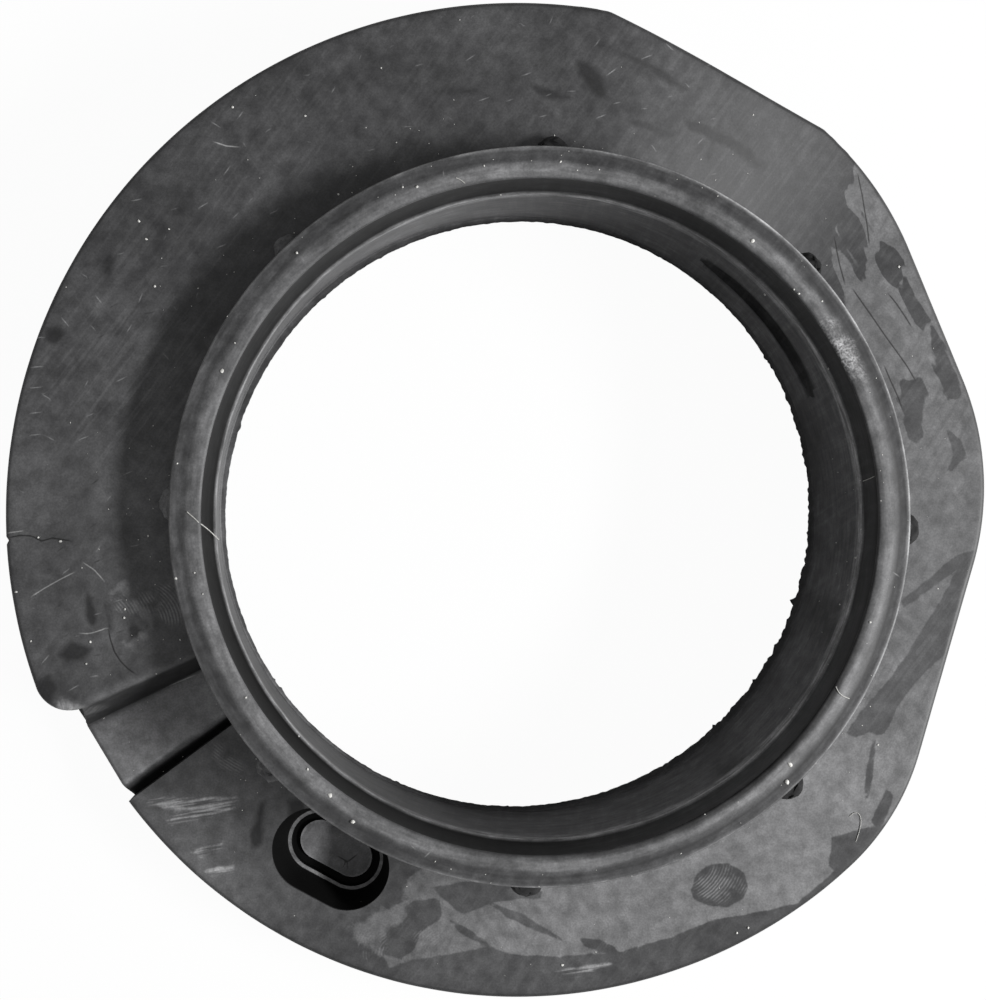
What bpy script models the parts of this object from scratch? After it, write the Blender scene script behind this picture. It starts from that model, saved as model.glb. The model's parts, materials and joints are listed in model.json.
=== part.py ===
"""Rubber coil-spring seat of a strut mount, moulded in one piece.

A flat-bottomed ring. The spring's first coil lies on the flange, which starts low, climbs as a ramp and
ends in a raised lobe with a stop wall for the tip of the wire. An eccentric collar stands inside the coil.
Metres, +Z up. The ring rests on its flat underside.
"""

from math import acos, atan2, cos, degrees, hypot, pi, radians, sin, sqrt

import bmesh
import bpy
from mathutils import Matrix, Vector

MM = 0.001

# Angles are in degrees, seen from above, counter-clockwise from +X about the axis of the bore.

# Rings, from the bore outwards
BORE_RADIUS = 48.3 * MM
FUNNEL_FLARE = 1.3 * MM
COLLAR_WALL = 4.8 * MM
SEAT_WIDTH = 22.65 * MM

# The flange's outline is a circle about the bore, trimmed by four flats
OUTER_FLAT_ANGLE = -16.0
OUTER_FLAT_DEPTH = 5.2 * MM
MIDDLE_FLAT_ANGLE = 22.5
MIDDLE_FLAT_DEPTH = 3.5 * MM
RAMP_FLAT_ANGLE = 65.5
RAMP_FLAT_DEPTH = 2.3 * MM
PANEL_FLAT_ANGLE = 210.9
PANEL_FLAT_DEPTH = 0.3 * MM
CIRCLE_BLEND_RADIUS = 40.0 * MM
FLAT_BLEND_RADIUS = 45.0 * MM
RAMP_BLEND_RADIUS = 42.0 * MM

# Heights of the seat above the underside
LOW_SEAT_HEIGHT = 8.5 * MM
DEAD_COIL_RISE = 1.2 * MM
LOBE_HEIGHT = 21.0 * MM
PANEL_DEPTH = 1.7 * MM

# Where the seat changes height
PANEL_END_ANGLE = 216.5
DEAD_COIL_START_ANGLE = 285.0
DEAD_COIL_END_ANGLE = 325.0
RAMP_START_ANGLE = 36.0
RAMP_END_ANGLE = 82.0
STOP_ANGLE = 204.15
STOP_LEAN = 2.45 * MM
STOP_EDGE_RADIUS = 1.6 * MM
STOP_EDGE_TURN = 75.0
STOP_CORNER_RADIUS = 5.5 * MM
PANEL_STEP_DRAFT = 0.25 * MM
PANEL_NOTCH_WIDTH = 3.0 * MM
PANEL_NOTCH_DEPTH = 2.6 * MM
PANEL_NOTCH_STEEPNESS = 1.5

# Edges of the flange
SEAT_EDGE_RADIUS = 0.8 * MM
FOOT_CHAMFER = 0.6 * MM
BASE_BAND = 0.4 * MM

# The bore widens as a funnel below the collar's upright inner wall
BORE_LAND = 0.9 * MM
INNER_WALL_HEIGHT = 9.4 * MM
UNDERCUT_HEIGHT = 0.8 * MM
UNDERCUT_DEPTH = 0.45 * MM

# Collar, eccentric to the bore
COLLAR_OFFSET_X = 3.3 * MM
COLLAR_OFFSET_Y = -0.4 * MM
COLLAR_RISE = 6.0 * MM
COLLAR_DRAFT = 0.5 * MM
CREST_WIDTH = 3.0 * MM
CREST_RISE = 0.5 * MM
RIM_RADIUS = 0.5 * MM
ROOT_FILLET = 1.4 * MM

# Grip ribs on the collar's outer wall
RIB_COUNT = 8
RIB_START_ANGLE = -2.0
RIB_RADIUS = 2.5 * MM
RIB_REACH = 2.9 * MM
RIB_RISE = 2.4 * MM
RIB_EDGE_RADIUS = 0.9 * MM
RIB_ROOT_DEPTH = 3.0 * MM

# Locating pocket: an obround blind recess with a groove and a ledge round its floor
POCKET_ANGLE = 241.6
POCKET_OFFSET = 8.0 * MM
POCKET_FLOOR_LENGTH = 12.4 * MM
POCKET_FLOOR_WIDTH = 6.5 * MM
POCKET_FLOOR_HEIGHT = 1.2 * MM
POCKET_GROOVE_WIDTH = 1.4 * MM
POCKET_GROOVE_DEPTH = 0.5 * MM
POCKET_GROOVE_DRAFT = 0.15 * MM
POCKET_LEDGE_STEP = 0.6 * MM
POCKET_LEDGE_WIDTH = 0.5 * MM
POCKET_WALL_TAPER = 1.65 * MM

# Crescent slot in the funnel wall
SLOT_ANGLE = 36.5
SLOT_HEIGHT = 9.5 * MM
SLOT_HALF_SPREAD = 17.0
SLOT_DEPTH = 2.2 * MM
SLOT_HALF_WIDTH = 2.0 * MM

# Fineness of the mesh
STATION_STEP = 4.5
ARC_STEPS = 4
POCKET_SEGMENTS = 32
RIB_SEGMENTS = 20
SLOT_SEGMENTS = 72
SLOT_RING_SEGMENTS = 16
RIB_EDGE_SEGMENTS = 3
SMOOTH_ANGLE = 32.0

# Two places closer than this are the same place
SAME_ANGLE = 0.01
SAME_LENGTH = 0.001 * MM

# A flat trims only the rays that meet it at less than 60 degrees from square
LEAST_FLAT_SLANT = 0.5

# Cutters pass this far beyond the face they cut
CUT_CLEARANCE = 2.0 * MM

# Finish of the bare rubber
RUBBER_COLOUR = (0.03, 0.03, 0.031, 1.0)
RUBBER_ROUGHNESS = 0.48

COLLAR_OFFSET = Vector((COLLAR_OFFSET_X, COLLAR_OFFSET_Y))
COLLAR_INNER_RADIUS = BORE_RADIUS + FUNNEL_FLARE
COLLAR_OUTER_RADIUS = COLLAR_INNER_RADIUS + COLLAR_WALL
FLANGE_RADIUS = COLLAR_OUTER_RADIUS + SEAT_WIDTH
SEAT_MIDDLE_RADIUS = COLLAR_OUTER_RADIUS + SEAT_WIDTH / 2
POCKET_CENTRE_RADIUS = COLLAR_OUTER_RADIUS + POCKET_OFFSET
PANEL_HEIGHT = LOW_SEAT_HEIGHT - PANEL_DEPTH
COLLAR_HEIGHT = LOBE_HEIGHT + COLLAR_RISE
RIB_TOP_HEIGHT = LOBE_HEIGHT + RIB_RISE
FUNNEL_TOP_HEIGHT = COLLAR_HEIGHT - INNER_WALL_HEIGHT
STOP_FOOT_ANGLE = STOP_ANGLE + degrees(STOP_LEAN / SEAT_MIDDLE_RADIUS)


def direction(angle):
    return Vector((cos(radians(angle)), sin(radians(angle))))


def smooth_step(value, start, end):
    """Rises from 0 at start to 1 at end, level at both."""
    share = min(max((value - start) / (end - start), 0.0), 1.0)
    return share * share * (3 - 2 * share)


def ray_to_circle(centre, radius, angle):
    """Distance from the bore axis, along this angle, to the far side of a circle."""
    ray = direction(angle)
    along = centre.dot(ray)
    across = centre.x * ray.y - centre.y * ray.x
    return along + sqrt(radius * radius - across * across)


def collar_circle(radius, angle):
    return ray_to_circle(COLLAR_OFFSET, radius, angle)


def circle_to_flat_blend(flat, radius, side):
    """Centre, radius and end angles of the arc that joins the flange circle to a flat."""
    flat_angle, distance = flat
    turn = degrees(acos((distance - radius) / (FLANGE_RADIUS - radius)))
    circle_end = flat_angle + side * turn
    centre = direction(circle_end) * (FLANGE_RADIUS - radius)
    touch = centre + direction(flat_angle) * radius
    return centre, radius, sorted((circle_end, degrees(atan2(touch.y, touch.x))))


def flat_to_flat_blend(flats, radius):
    """Centre, radius and end angles of the arc that joins two flats."""
    normals = [direction(flat_angle) for flat_angle, distance in flats]
    centre = Matrix(normals).inverted() @ Vector([distance - radius for flat_angle, distance in flats])
    ends = [centre + normal * radius for normal in normals]
    return centre, radius, sorted(degrees(atan2(end.y, end.x)) for end in ends)


OUTER_FLAT = (OUTER_FLAT_ANGLE, FLANGE_RADIUS - OUTER_FLAT_DEPTH)
MIDDLE_FLAT = (MIDDLE_FLAT_ANGLE, FLANGE_RADIUS - MIDDLE_FLAT_DEPTH)
RAMP_FLAT = (RAMP_FLAT_ANGLE, FLANGE_RADIUS - RAMP_FLAT_DEPTH)
PANEL_FLAT = (PANEL_FLAT_ANGLE, FLANGE_RADIUS - PANEL_FLAT_DEPTH)
FLATS = (OUTER_FLAT, MIDDLE_FLAT, RAMP_FLAT, PANEL_FLAT)
BLENDS = (
    circle_to_flat_blend(OUTER_FLAT, CIRCLE_BLEND_RADIUS, -1),
    flat_to_flat_blend((OUTER_FLAT, MIDDLE_FLAT), FLAT_BLEND_RADIUS),
    circle_to_flat_blend(MIDDLE_FLAT, RAMP_BLEND_RADIUS, 1),
)


def outline_radius(angle):
    """Distance from the bore axis to the flange's outline."""
    for centre, radius, (start, end) in BLENDS:
        if start < (angle - start) % 360 + start < end:
            return ray_to_circle(centre, radius, angle)
    facing = [(cos(radians(angle - flat)), distance) for flat, distance in FLATS]
    return min([FLANGE_RADIUS] + [distance / slant for slant, distance in facing if slant > LEAST_FLAT_SLANT])


def flat_end_angles(flat_angle, distance):
    half = degrees(acos(distance / FLANGE_RADIUS))
    return [flat_angle - half, flat_angle + half]


def seat_height(angle):
    """Height of the seat along the coil, for angles from the end of the panel round to the stop."""
    turned = (angle - PANEL_END_ANGLE) % 360 + PANEL_END_ANGLE
    dead_coil = smooth_step(turned, DEAD_COIL_START_ANGLE, DEAD_COIL_END_ANGLE)
    ramp = smooth_step(turned, RAMP_START_ANGLE + 360, RAMP_END_ANGLE + 360)
    ramp_rise = LOBE_HEIGHT - LOW_SEAT_HEIGHT - DEAD_COIL_RISE
    return LOW_SEAT_HEIGHT + DEAD_COIL_RISE * dead_coil + ramp_rise * ramp


def stop_corner_radius(angle):
    """Distance to the rounded outer corner of the lobe, in the few degrees before the stop wall."""
    spread = degrees(STOP_CORNER_RADIUS / (FLANGE_RADIUS - STOP_CORNER_RADIUS))
    centre = direction(STOP_ANGLE - spread) * (FLANGE_RADIUS - STOP_CORNER_RADIUS)
    if not STOP_ANGLE - spread < angle <= STOP_ANGLE + SAME_ANGLE:
        return FLANGE_RADIUS
    across = abs(centre.x * direction(angle).y - centre.y * direction(angle).x)
    if across > STOP_CORNER_RADIUS:
        return hypot(centre.length, STOP_CORNER_RADIUS)
    return ray_to_circle(centre, STOP_CORNER_RADIUS, angle)


def spaced(start, end, step):
    """Angles from start up to, but not including, end, at about this step."""
    count = max(1, round((end - start) / step))
    return [start + (end - start) * index / count for index in range(count)]


def stop_stations():
    """The rounded upper edge of the stop wall and the foot of the wall, as (angle, seat height)."""
    edge_angle = degrees(STOP_EDGE_RADIUS / SEAT_MIDDLE_RADIUS)
    stations = []
    for index in range(ARC_STEPS + 1):
        turn = radians(STOP_EDGE_TURN) * index / ARC_STEPS
        angle = STOP_ANGLE - edge_angle * (1 - sin(turn))
        stations.append((angle, LOBE_HEIGHT - STOP_EDGE_RADIUS * (1 - cos(turn))))
    return stations + [(STOP_FOOT_ANGLE, PANEL_HEIGHT)]


def panel_stations():
    """The level panel and the notch at its end, below the step up to the low seat."""
    notch_end = PANEL_END_ANGLE + 360 - degrees(PANEL_STEP_DRAFT / SEAT_MIDDLE_RADIUS)
    notch_angle = degrees(PANEL_NOTCH_WIDTH / SEAT_MIDDLE_RADIUS)
    level = spaced(STOP_FOOT_ANGLE + 360, notch_end - notch_angle, STATION_STEP)[1:]
    found = [(angle, PANEL_HEIGHT) for angle in level]
    for index in range(ARC_STEPS + 1):
        share = index / ARC_STEPS
        depth = PANEL_NOTCH_DEPTH * share**PANEL_NOTCH_STEEPNESS
        found.append((notch_end - notch_angle * (1 - share), PANEL_HEIGHT - depth))
    return found


def stations():
    """Every place where the ring's section is drawn, as (angle, seat height), once round the ring."""
    corners = [PANEL_END_ANGLE, DEAD_COIL_START_ANGLE, DEAD_COIL_END_ANGLE]
    corners += [RAMP_START_ANGLE + 360, RAMP_END_ANGLE + 360]
    for centre, radius, ends in BLENDS:
        corners += [(end - PANEL_END_ANGLE) % 360 + PANEL_END_ANGLE for end in ends]
    corners += [angle + 360 for angle in flat_end_angles(*RAMP_FLAT)]
    stop = [(angle + 360, height) for angle, height in stop_stations()]
    corner_spread = degrees(STOP_CORNER_RADIUS / (FLANGE_RADIUS - STOP_CORNER_RADIUS))
    corner_start = STOP_ANGLE + 360 - corner_spread
    corners = sorted(corners + [corner_start])
    found = []
    for start, end in zip(corners, corners[1:]):
        found += [(angle, seat_height(angle)) for angle in spaced(start, end, STATION_STEP)]
    corner_step = (stop[0][0] - corner_start) / ARC_STEPS
    found += [(angle, LOBE_HEIGHT) for angle in spaced(corner_start, stop[0][0], corner_step)]
    return found + stop + panel_stations()


def outer_wall(angle, seat):
    """The section's outer side: foot, base band, upper wall and rounded edge."""
    edge = outline_radius(angle)
    upper = min(edge, stop_corner_radius(angle % 360) if seat > LOW_SEAT_HEIGHT else edge)
    band = min(PANEL_HEIGHT, seat - SEAT_EDGE_RADIUS - BASE_BAND)
    points = [(edge - FOOT_CHAMFER, 0.0), (edge, FOOT_CHAMFER)]
    points += [(edge, band - BASE_BAND), (upper, band)]
    for index in range(ARC_STEPS):
        turn = pi / 2 * index / (ARC_STEPS - 1)
        radius = upper - SEAT_EDGE_RADIUS * (1 - cos(turn))
        points.append((radius, seat - SEAT_EDGE_RADIUS * (1 - sin(turn))))
    return points


def collar_outside(angle, seat):
    """From the root fillet up the drafted wall to the rim."""
    root = COLLAR_OUTER_RADIUS - COLLAR_DRAFT
    points = []
    for index in range(ARC_STEPS):
        turn = pi / 2 * index / (ARC_STEPS - 1)
        radius = root + ROOT_FILLET * (1 - sin(turn))
        points.append((collar_circle(radius, angle), seat + ROOT_FILLET * (1 - cos(turn))))
    rim = COLLAR_HEIGHT - CREST_RISE
    points.append((collar_circle(COLLAR_OUTER_RADIUS, angle), rim - RIM_RADIUS))
    points.append((collar_circle(COLLAR_OUTER_RADIUS - RIM_RADIUS, angle), rim))
    return points


def crest(angle):
    """The rounded bead on top of the collar, beside a flat shoulder."""
    middle = COLLAR_INNER_RADIUS + CREST_WIDTH / 2
    foot = COLLAR_HEIGHT - CREST_RISE
    points = []
    for index in range(2 * ARC_STEPS - 1):
        turn = pi * index / (2 * ARC_STEPS - 2)
        radius = middle + CREST_WIDTH / 2 * cos(turn)
        points.append((collar_circle(radius, angle), foot + CREST_RISE * sin(turn)))
    return points


def inside(angle):
    """Down the collar's inner wall, over the undercut lip and along the funnel to the bore."""
    funnel_top = collar_circle(COLLAR_INNER_RADIUS - UNDERCUT_DEPTH, angle)
    return [
        (collar_circle(COLLAR_INNER_RADIUS, angle), FUNNEL_TOP_HEIGHT + UNDERCUT_HEIGHT),
        (funnel_top, FUNNEL_TOP_HEIGHT),
        (BORE_RADIUS, BORE_LAND),
        (BORE_RADIUS, 0.0),
    ]


def section(angle, seat):
    """The ring's section as (radius, height), from the outer foot over the top to the bore."""
    return outer_wall(angle, seat) + collar_outside(angle, seat) + crest(angle) + inside(angle)


def new_object(name, collection, parent):
    found = bpy.data.objects.new(name, bpy.data.meshes.new(name))
    collection.objects.link(found)
    found.parent = parent
    return found


def fill_object(target, shape):
    """Moves a bmesh into the object, with its faces turned outwards."""
    bmesh.ops.recalc_face_normals(shape, faces=shape.faces)
    shape.to_mesh(target.data)
    shape.free()


def make_ring(collection, parent):
    """A torus whose rings are drawn out to the section at each station."""
    sections = [(angle, section(angle, seat)) for angle, seat in stations()]
    points = len(sections[0][1])
    bpy.ops.mesh.primitive_torus_add(major_segments=len(sections), minor_segments=points)
    ring = bpy.context.active_object
    ring.name = ring.data.name = "spring_seat"
    for vertex in ring.data.vertices:
        angle, outline = sections[vertex.index // points]
        radius, height = outline[vertex.index % points]
        vertex.co = (*(direction(angle) * radius), height)
    for other in ring.users_collection:
        other.objects.unlink(ring)
    collection.objects.link(ring)
    ring.parent = parent
    return ring


def obround_loop(shape, length, width, height):
    """A closed loop of edges: two half circles and two straight sides, long along X."""
    made = bmesh.ops.create_circle(shape, segments=POCKET_SEGMENTS, radius=width / 2)
    shift = (length - width) / 2
    for vertex in made["verts"]:
        vertex.co.x += shift if vertex.co.x > 0 else -shift
        vertex.co.z = height
    return list({edge for vertex in made["verts"] for edge in vertex.link_edges})


def pocket_levels():
    """(widening beyond the floor, height) from the floor up to above the seat."""
    ledge = POCKET_FLOOR_HEIGHT + POCKET_LEDGE_STEP
    groove = POCKET_FLOOR_HEIGHT - POCKET_GROOVE_DEPTH
    slope = POCKET_WALL_TAPER / (LOW_SEAT_HEIGHT - ledge)
    ledge_outside = POCKET_GROOVE_WIDTH + POCKET_LEDGE_WIDTH
    return [
        (0.0, POCKET_FLOOR_HEIGHT),
        (POCKET_GROOVE_DRAFT, groove),
        (POCKET_GROOVE_WIDTH - POCKET_GROOVE_DRAFT, groove),
        (POCKET_GROOVE_WIDTH, ledge),
        (ledge_outside, ledge),
        (ledge_outside + POCKET_WALL_TAPER + slope * CUT_CLEARANCE, LOW_SEAT_HEIGHT + CUT_CLEARANCE),
    ]


def make_pocket_cutter(collection, parent):
    shape = bmesh.new()
    loops = []
    for widening, height in pocket_levels():
        length = POCKET_FLOOR_LENGTH + 2 * widening
        loops.append(obround_loop(shape, length, POCKET_FLOOR_WIDTH + 2 * widening, height))
    for lower, upper in zip(loops, loops[1:]):
        bmesh.ops.bridge_loops(shape, edges=lower + upper)
    bmesh.ops.contextual_create(shape, geom=loops[0])
    bmesh.ops.contextual_create(shape, geom=loops[-1])
    cutter = new_object("pocket_cutter", collection, parent)
    fill_object(cutter, shape)
    cutter.location.xy = direction(POCKET_ANGLE) * POCKET_CENTRE_RADIUS
    cutter.rotation_euler.z = radians(POCKET_ANGLE + 90)
    return cutter


def make_slot_cutter(collection, parent):
    """A ring that bites into the funnel wall only round its far side, so that the slot is a crescent."""
    share = (SLOT_HEIGHT - BORE_LAND) / (FUNNEL_TOP_HEIGHT - BORE_LAND)
    top = collar_circle(COLLAR_INNER_RADIUS - UNDERCUT_DEPTH, SLOT_ANGLE)
    wall = BORE_RADIUS + (top - BORE_RADIUS) * share
    reach = wall + SLOT_DEPTH
    # The ring's circle passes through the wall at both ends of the slot and lies SLOT_DEPTH beyond it midway
    spread = cos(radians(SLOT_HALF_SPREAD))
    offset = (reach * reach - wall * wall) / (2 * (reach - wall * spread))
    shape = bmesh.new()
    profile = bmesh.ops.create_circle(
        shape, segments=SLOT_RING_SEGMENTS, radius=SLOT_HALF_WIDTH, matrix=Matrix.Rotation(pi / 2, 4, "X")
    )
    bmesh.ops.translate(shape, vec=(reach - offset - SLOT_HALF_WIDTH, 0, 0), verts=profile["verts"])
    bmesh.ops.spin(
        shape,
        geom=shape.verts[:] + shape.edges[:],
        cent=(0, 0, 0),
        axis=(0, 0, 1),
        angle=2 * pi,
        steps=SLOT_SEGMENTS,
        use_merge=True,
    )
    cutter = new_object("slot_cutter", collection, parent)
    fill_object(cutter, shape)
    cutter.location.xy = direction(SLOT_ANGLE) * offset
    cutter.location.z = SLOT_HEIGHT
    return cutter


def make_ribs(collection, parent):
    """Round-nosed upright ribs, equally spaced about the collar's axis and rooted in the flange."""
    shape = bmesh.new()
    height = RIB_TOP_HEIGHT - RIB_ROOT_DEPTH
    for index in range(RIB_COUNT):
        angle = RIB_START_ANGLE + 360 / RIB_COUNT * index
        nose = COLLAR_OUTER_RADIUS - COLLAR_DRAFT + RIB_REACH - RIB_RADIUS
        place = COLLAR_OFFSET + direction(angle) * nose
        middle = Matrix.Translation((*place, RIB_ROOT_DEPTH + height / 2))
        bmesh.ops.create_cone(
            shape,
            cap_ends=True,
            segments=RIB_SEGMENTS,
            radius1=RIB_RADIUS,
            radius2=RIB_RADIUS,
            depth=height,
            matrix=middle,
        )
    top_edges = [
        edge
        for edge in shape.edges
        if all(vertex.co.z > RIB_TOP_HEIGHT - SAME_LENGTH for vertex in edge.verts)
    ]
    bmesh.ops.bevel(
        shape,
        geom=top_edges,
        offset=RIB_EDGE_RADIUS,
        segments=RIB_EDGE_SEGMENTS,
        profile=0.5,
        affect="EDGES",
    )
    ribs = new_object("grip_ribs", collection, parent)
    fill_object(ribs, shape)
    return ribs


def rubber_material():
    material = bpy.data.materials.new("moulded_rubber")
    material.use_nodes = True
    shader = material.node_tree.nodes["Principled BSDF"]
    shader.inputs["Base Color"].default_value = RUBBER_COLOUR
    shader.inputs["Roughness"].default_value = RUBBER_ROUGHNESS
    shader.inputs["Metallic"].default_value = 0.0
    return material


def combine(target, operation, helper):
    modifier = target.modifiers.new(helper.name, "BOOLEAN")
    modifier.operation = operation
    modifier.solver = "EXACT"
    modifier.object = helper
    helper.hide_render = True
    helper.display_type = "WIRE"


def main():
    for found in list(bpy.data.objects):
        bpy.data.objects.remove(found, do_unlink=True)
    parts = bpy.data.collections.new("strut_spring_seat")
    helpers = bpy.data.collections.new("helpers")
    for collection in (parts, helpers):
        bpy.context.scene.collection.children.link(collection)
    bore_axis = bpy.data.objects.new("bore_axis", None)
    parts.objects.link(bore_axis)

    ring = make_ring(parts, bore_axis)
    combine(ring, "UNION", make_ribs(helpers, bore_axis))
    combine(ring, "DIFFERENCE", make_pocket_cutter(helpers, bore_axis))
    combine(ring, "DIFFERENCE", make_slot_cutter(helpers, bore_axis))
    ring.data.materials.append(rubber_material())
    ring.data.shade_smooth()
    ring.data.set_sharp_from_angle(angle=radians(SMOOTH_ANGLE))

    # The origin is the centre of the ring's box, so the bore's axis lies a little to one side
    for axis in range(2):
        values = [vertex.co[axis] for vertex in ring.data.vertices]
        bore_axis.location[axis] = -(min(values) + max(values)) / 2


main()
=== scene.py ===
# %% [markdown]
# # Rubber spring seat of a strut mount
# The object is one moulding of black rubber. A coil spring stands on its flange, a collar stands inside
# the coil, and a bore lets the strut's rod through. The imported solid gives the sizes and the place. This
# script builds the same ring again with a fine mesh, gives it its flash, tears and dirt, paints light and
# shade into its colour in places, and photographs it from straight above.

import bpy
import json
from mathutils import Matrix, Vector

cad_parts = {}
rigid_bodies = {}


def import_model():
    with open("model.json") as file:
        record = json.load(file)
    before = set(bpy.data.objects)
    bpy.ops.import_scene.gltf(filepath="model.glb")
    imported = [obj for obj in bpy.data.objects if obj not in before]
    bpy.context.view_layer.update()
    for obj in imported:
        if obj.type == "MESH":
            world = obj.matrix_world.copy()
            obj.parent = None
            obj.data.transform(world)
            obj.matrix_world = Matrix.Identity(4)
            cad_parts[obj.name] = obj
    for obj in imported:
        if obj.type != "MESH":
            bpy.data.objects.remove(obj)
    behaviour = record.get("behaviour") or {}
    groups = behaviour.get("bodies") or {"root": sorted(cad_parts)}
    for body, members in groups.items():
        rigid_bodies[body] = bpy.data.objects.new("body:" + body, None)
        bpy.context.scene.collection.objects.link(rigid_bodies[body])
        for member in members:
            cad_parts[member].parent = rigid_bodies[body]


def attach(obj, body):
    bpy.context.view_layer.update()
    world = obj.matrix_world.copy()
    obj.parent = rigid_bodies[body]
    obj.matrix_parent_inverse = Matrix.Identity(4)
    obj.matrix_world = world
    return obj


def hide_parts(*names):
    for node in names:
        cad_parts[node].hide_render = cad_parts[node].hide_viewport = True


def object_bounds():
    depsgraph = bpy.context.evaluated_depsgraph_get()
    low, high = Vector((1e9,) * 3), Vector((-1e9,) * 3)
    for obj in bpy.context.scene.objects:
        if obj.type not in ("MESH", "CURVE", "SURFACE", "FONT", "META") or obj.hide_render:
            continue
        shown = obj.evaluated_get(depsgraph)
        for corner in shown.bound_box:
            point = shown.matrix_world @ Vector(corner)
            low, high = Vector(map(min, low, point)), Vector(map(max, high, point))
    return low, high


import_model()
CAD_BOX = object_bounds()
print("solid's box in metres:", [list(corner) for corner in CAD_BOX])

# %% [markdown]
# ## Sizes
# Blender measures in metres and a moulding like this is drawn in millimetres, so every size is written in
# millimetres and turned once. Angles are in degrees, counter-clockwise from +X, about the axis of the bore.

# %% Units and tools
import json
from math import acos, atan2, cos, degrees, hypot, pi, radians, sin, sqrt
from random import Random

import bmesh
import bpy
import numpy as np
from mathutils import Matrix, Vector, noise
from mathutils.bvhtree import BVHTree

MM = 0.001
BORE_AXIS = Vector((1.437, -0.003)) * MM


def direction(angle):
    return Vector((cos(radians(angle)), sin(radians(angle))))


def smooth_step(value, start, end):
    """Rises from 0 at start to 1 at end, level at both."""
    share = min(max((value - start) / (end - start), 0.0), 1.0)
    return share * share * (3 - 2 * share)


def wander(angle, cycles, seed):
    """Noise between about -1 and 1 that closes on itself after one turn round the bore."""
    place = direction(angle) * cycles / (2 * pi)
    return noise.noise(Vector((place.x, place.y, seed)))


# %% [markdown]
# ## The ring's plan
# Seen from above, the flange is a circle trimmed by four flats with large arcs between them, and the collar
# is a second circle a few millimetres off the bore's axis. A ray from the axis meets each of them once, so
# the whole plan can be written as distances along rays, which is what a spun mesh needs.

# %% Circles and flats
BORE_RADIUS = 48.3 * MM
COLLAR_OFFSET = Vector((3.3, -0.4)) * MM
COLLAR_INNER_RADIUS = 49.6 * MM
COLLAR_OUTER_RADIUS = 54.4 * MM
FLANGE_RADIUS = 77.05 * MM
OUTER_FLAT = (-16.0, 71.85 * MM)
MIDDLE_FLAT = (22.5, 73.55 * MM)
RAMP_FLAT = (65.5, 74.75 * MM)
PANEL_FLAT = (210.9, 76.75 * MM)
FLATS = (OUTER_FLAT, MIDDLE_FLAT, RAMP_FLAT, PANEL_FLAT)


def ray_to_circle(centre, radius, angle):
    """Distance along this ray from the bore's axis to the far side of a circle."""
    ray = direction(angle)
    across = centre.x * ray.y - centre.y * ray.x
    return centre.dot(ray) + sqrt(radius * radius - across * across)


def collar_circle(radius, angle):
    return ray_to_circle(COLLAR_OFFSET, radius, angle)


def circle_to_flat(flat, radius, side):
    """Centre, radius and end angles of the arc between the flange's circle and a flat."""
    flat_angle, distance = flat
    circle_end = flat_angle + side * degrees(acos((distance - radius) / (FLANGE_RADIUS - radius)))
    centre = direction(circle_end) * (FLANGE_RADIUS - radius)
    touch = centre + direction(flat_angle) * radius
    return centre, radius, sorted((circle_end, degrees(atan2(touch.y, touch.x))))


def flat_to_flat(flats, radius):
    """Centre, radius and end angles of the arc between two flats."""
    normals = [direction(flat_angle) for flat_angle, distance in flats]
    centre = Matrix(normals).inverted() @ Vector([distance - radius for flat_angle, distance in flats])
    ends = [centre + normal * radius for normal in normals]
    return centre, radius, sorted(degrees(atan2(end.y, end.x)) for end in ends)


BLENDS = (
    circle_to_flat(OUTER_FLAT, 40.0 * MM, -1),
    flat_to_flat((OUTER_FLAT, MIDDLE_FLAT), 45.0 * MM),
    circle_to_flat(MIDDLE_FLAT, 42.0 * MM, 1),
)


def outline_radius(angle):
    for centre, radius, (start, end) in BLENDS:
        if start < (angle - start) % 360 + start < end:
            return ray_to_circle(centre, radius, angle)
    facing = [(cos(radians(angle - flat)), distance) for flat, distance in FLATS]
    return min([FLANGE_RADIUS] + [distance / slant for slant, distance in facing if slant > 0.5])


# %% [markdown]
# ## Heights round the ring
# The seat starts on a recessed panel, steps up to the low seat, rises a little under the dead coil, climbs
# a ramp to the lobe, and ends at the stop wall, where the tip of the wire rests. One function gives that
# height at any angle, so the same section can be drawn at every station round the ring.

# %% Seat heights
LOW_SEAT_HEIGHT = 8.5 * MM
DEAD_COIL_RISE = 1.2 * MM
LOBE_HEIGHT = 21.0 * MM
PANEL_HEIGHT = 6.8 * MM
DEAD_COIL_ANGLES = (285, 325)
RAMP_ANGLES = (36 + 360, 82 + 360)
PANEL_END_ANGLE = 216.5
STOP_ANGLE = 204.15
STOP_LEAN = 2.45 * MM
STOP_EDGE_RADIUS = 1.6 * MM
STOP_CORNER_RADIUS = 5.5 * MM
SEAT_MIDDLE_RADIUS = (FLANGE_RADIUS + COLLAR_OUTER_RADIUS) / 2
STOP_FOOT_ANGLE = STOP_ANGLE + degrees(STOP_LEAN / SEAT_MIDDLE_RADIUS)
PANEL_NOTCH_WIDTH = 3.0 * MM
PANEL_NOTCH_DEPTH = 2.6 * MM


def coil_height(angle):
    """Height of the seat from the end of the panel round to the stop."""
    turned = (angle - PANEL_END_ANGLE) % 360 + PANEL_END_ANGLE
    dead_coil = LOW_SEAT_HEIGHT + DEAD_COIL_RISE * smooth_step(turned, *DEAD_COIL_ANGLES)
    climb = LOBE_HEIGHT - LOW_SEAT_HEIGHT - DEAD_COIL_RISE
    return dead_coil + climb * smooth_step(turned, *RAMP_ANGLES)


def panel_height(angle):
    """The panel is level, then dips into a dark notch at the step up to the low seat."""
    left = radians(PANEL_END_ANGLE - angle % 360) * SEAT_MIDDLE_RADIUS
    return PANEL_HEIGHT - PANEL_NOTCH_DEPTH * (1 - smooth_step(left, 0.0, PANEL_NOTCH_WIDTH)) ** 1.5


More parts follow.
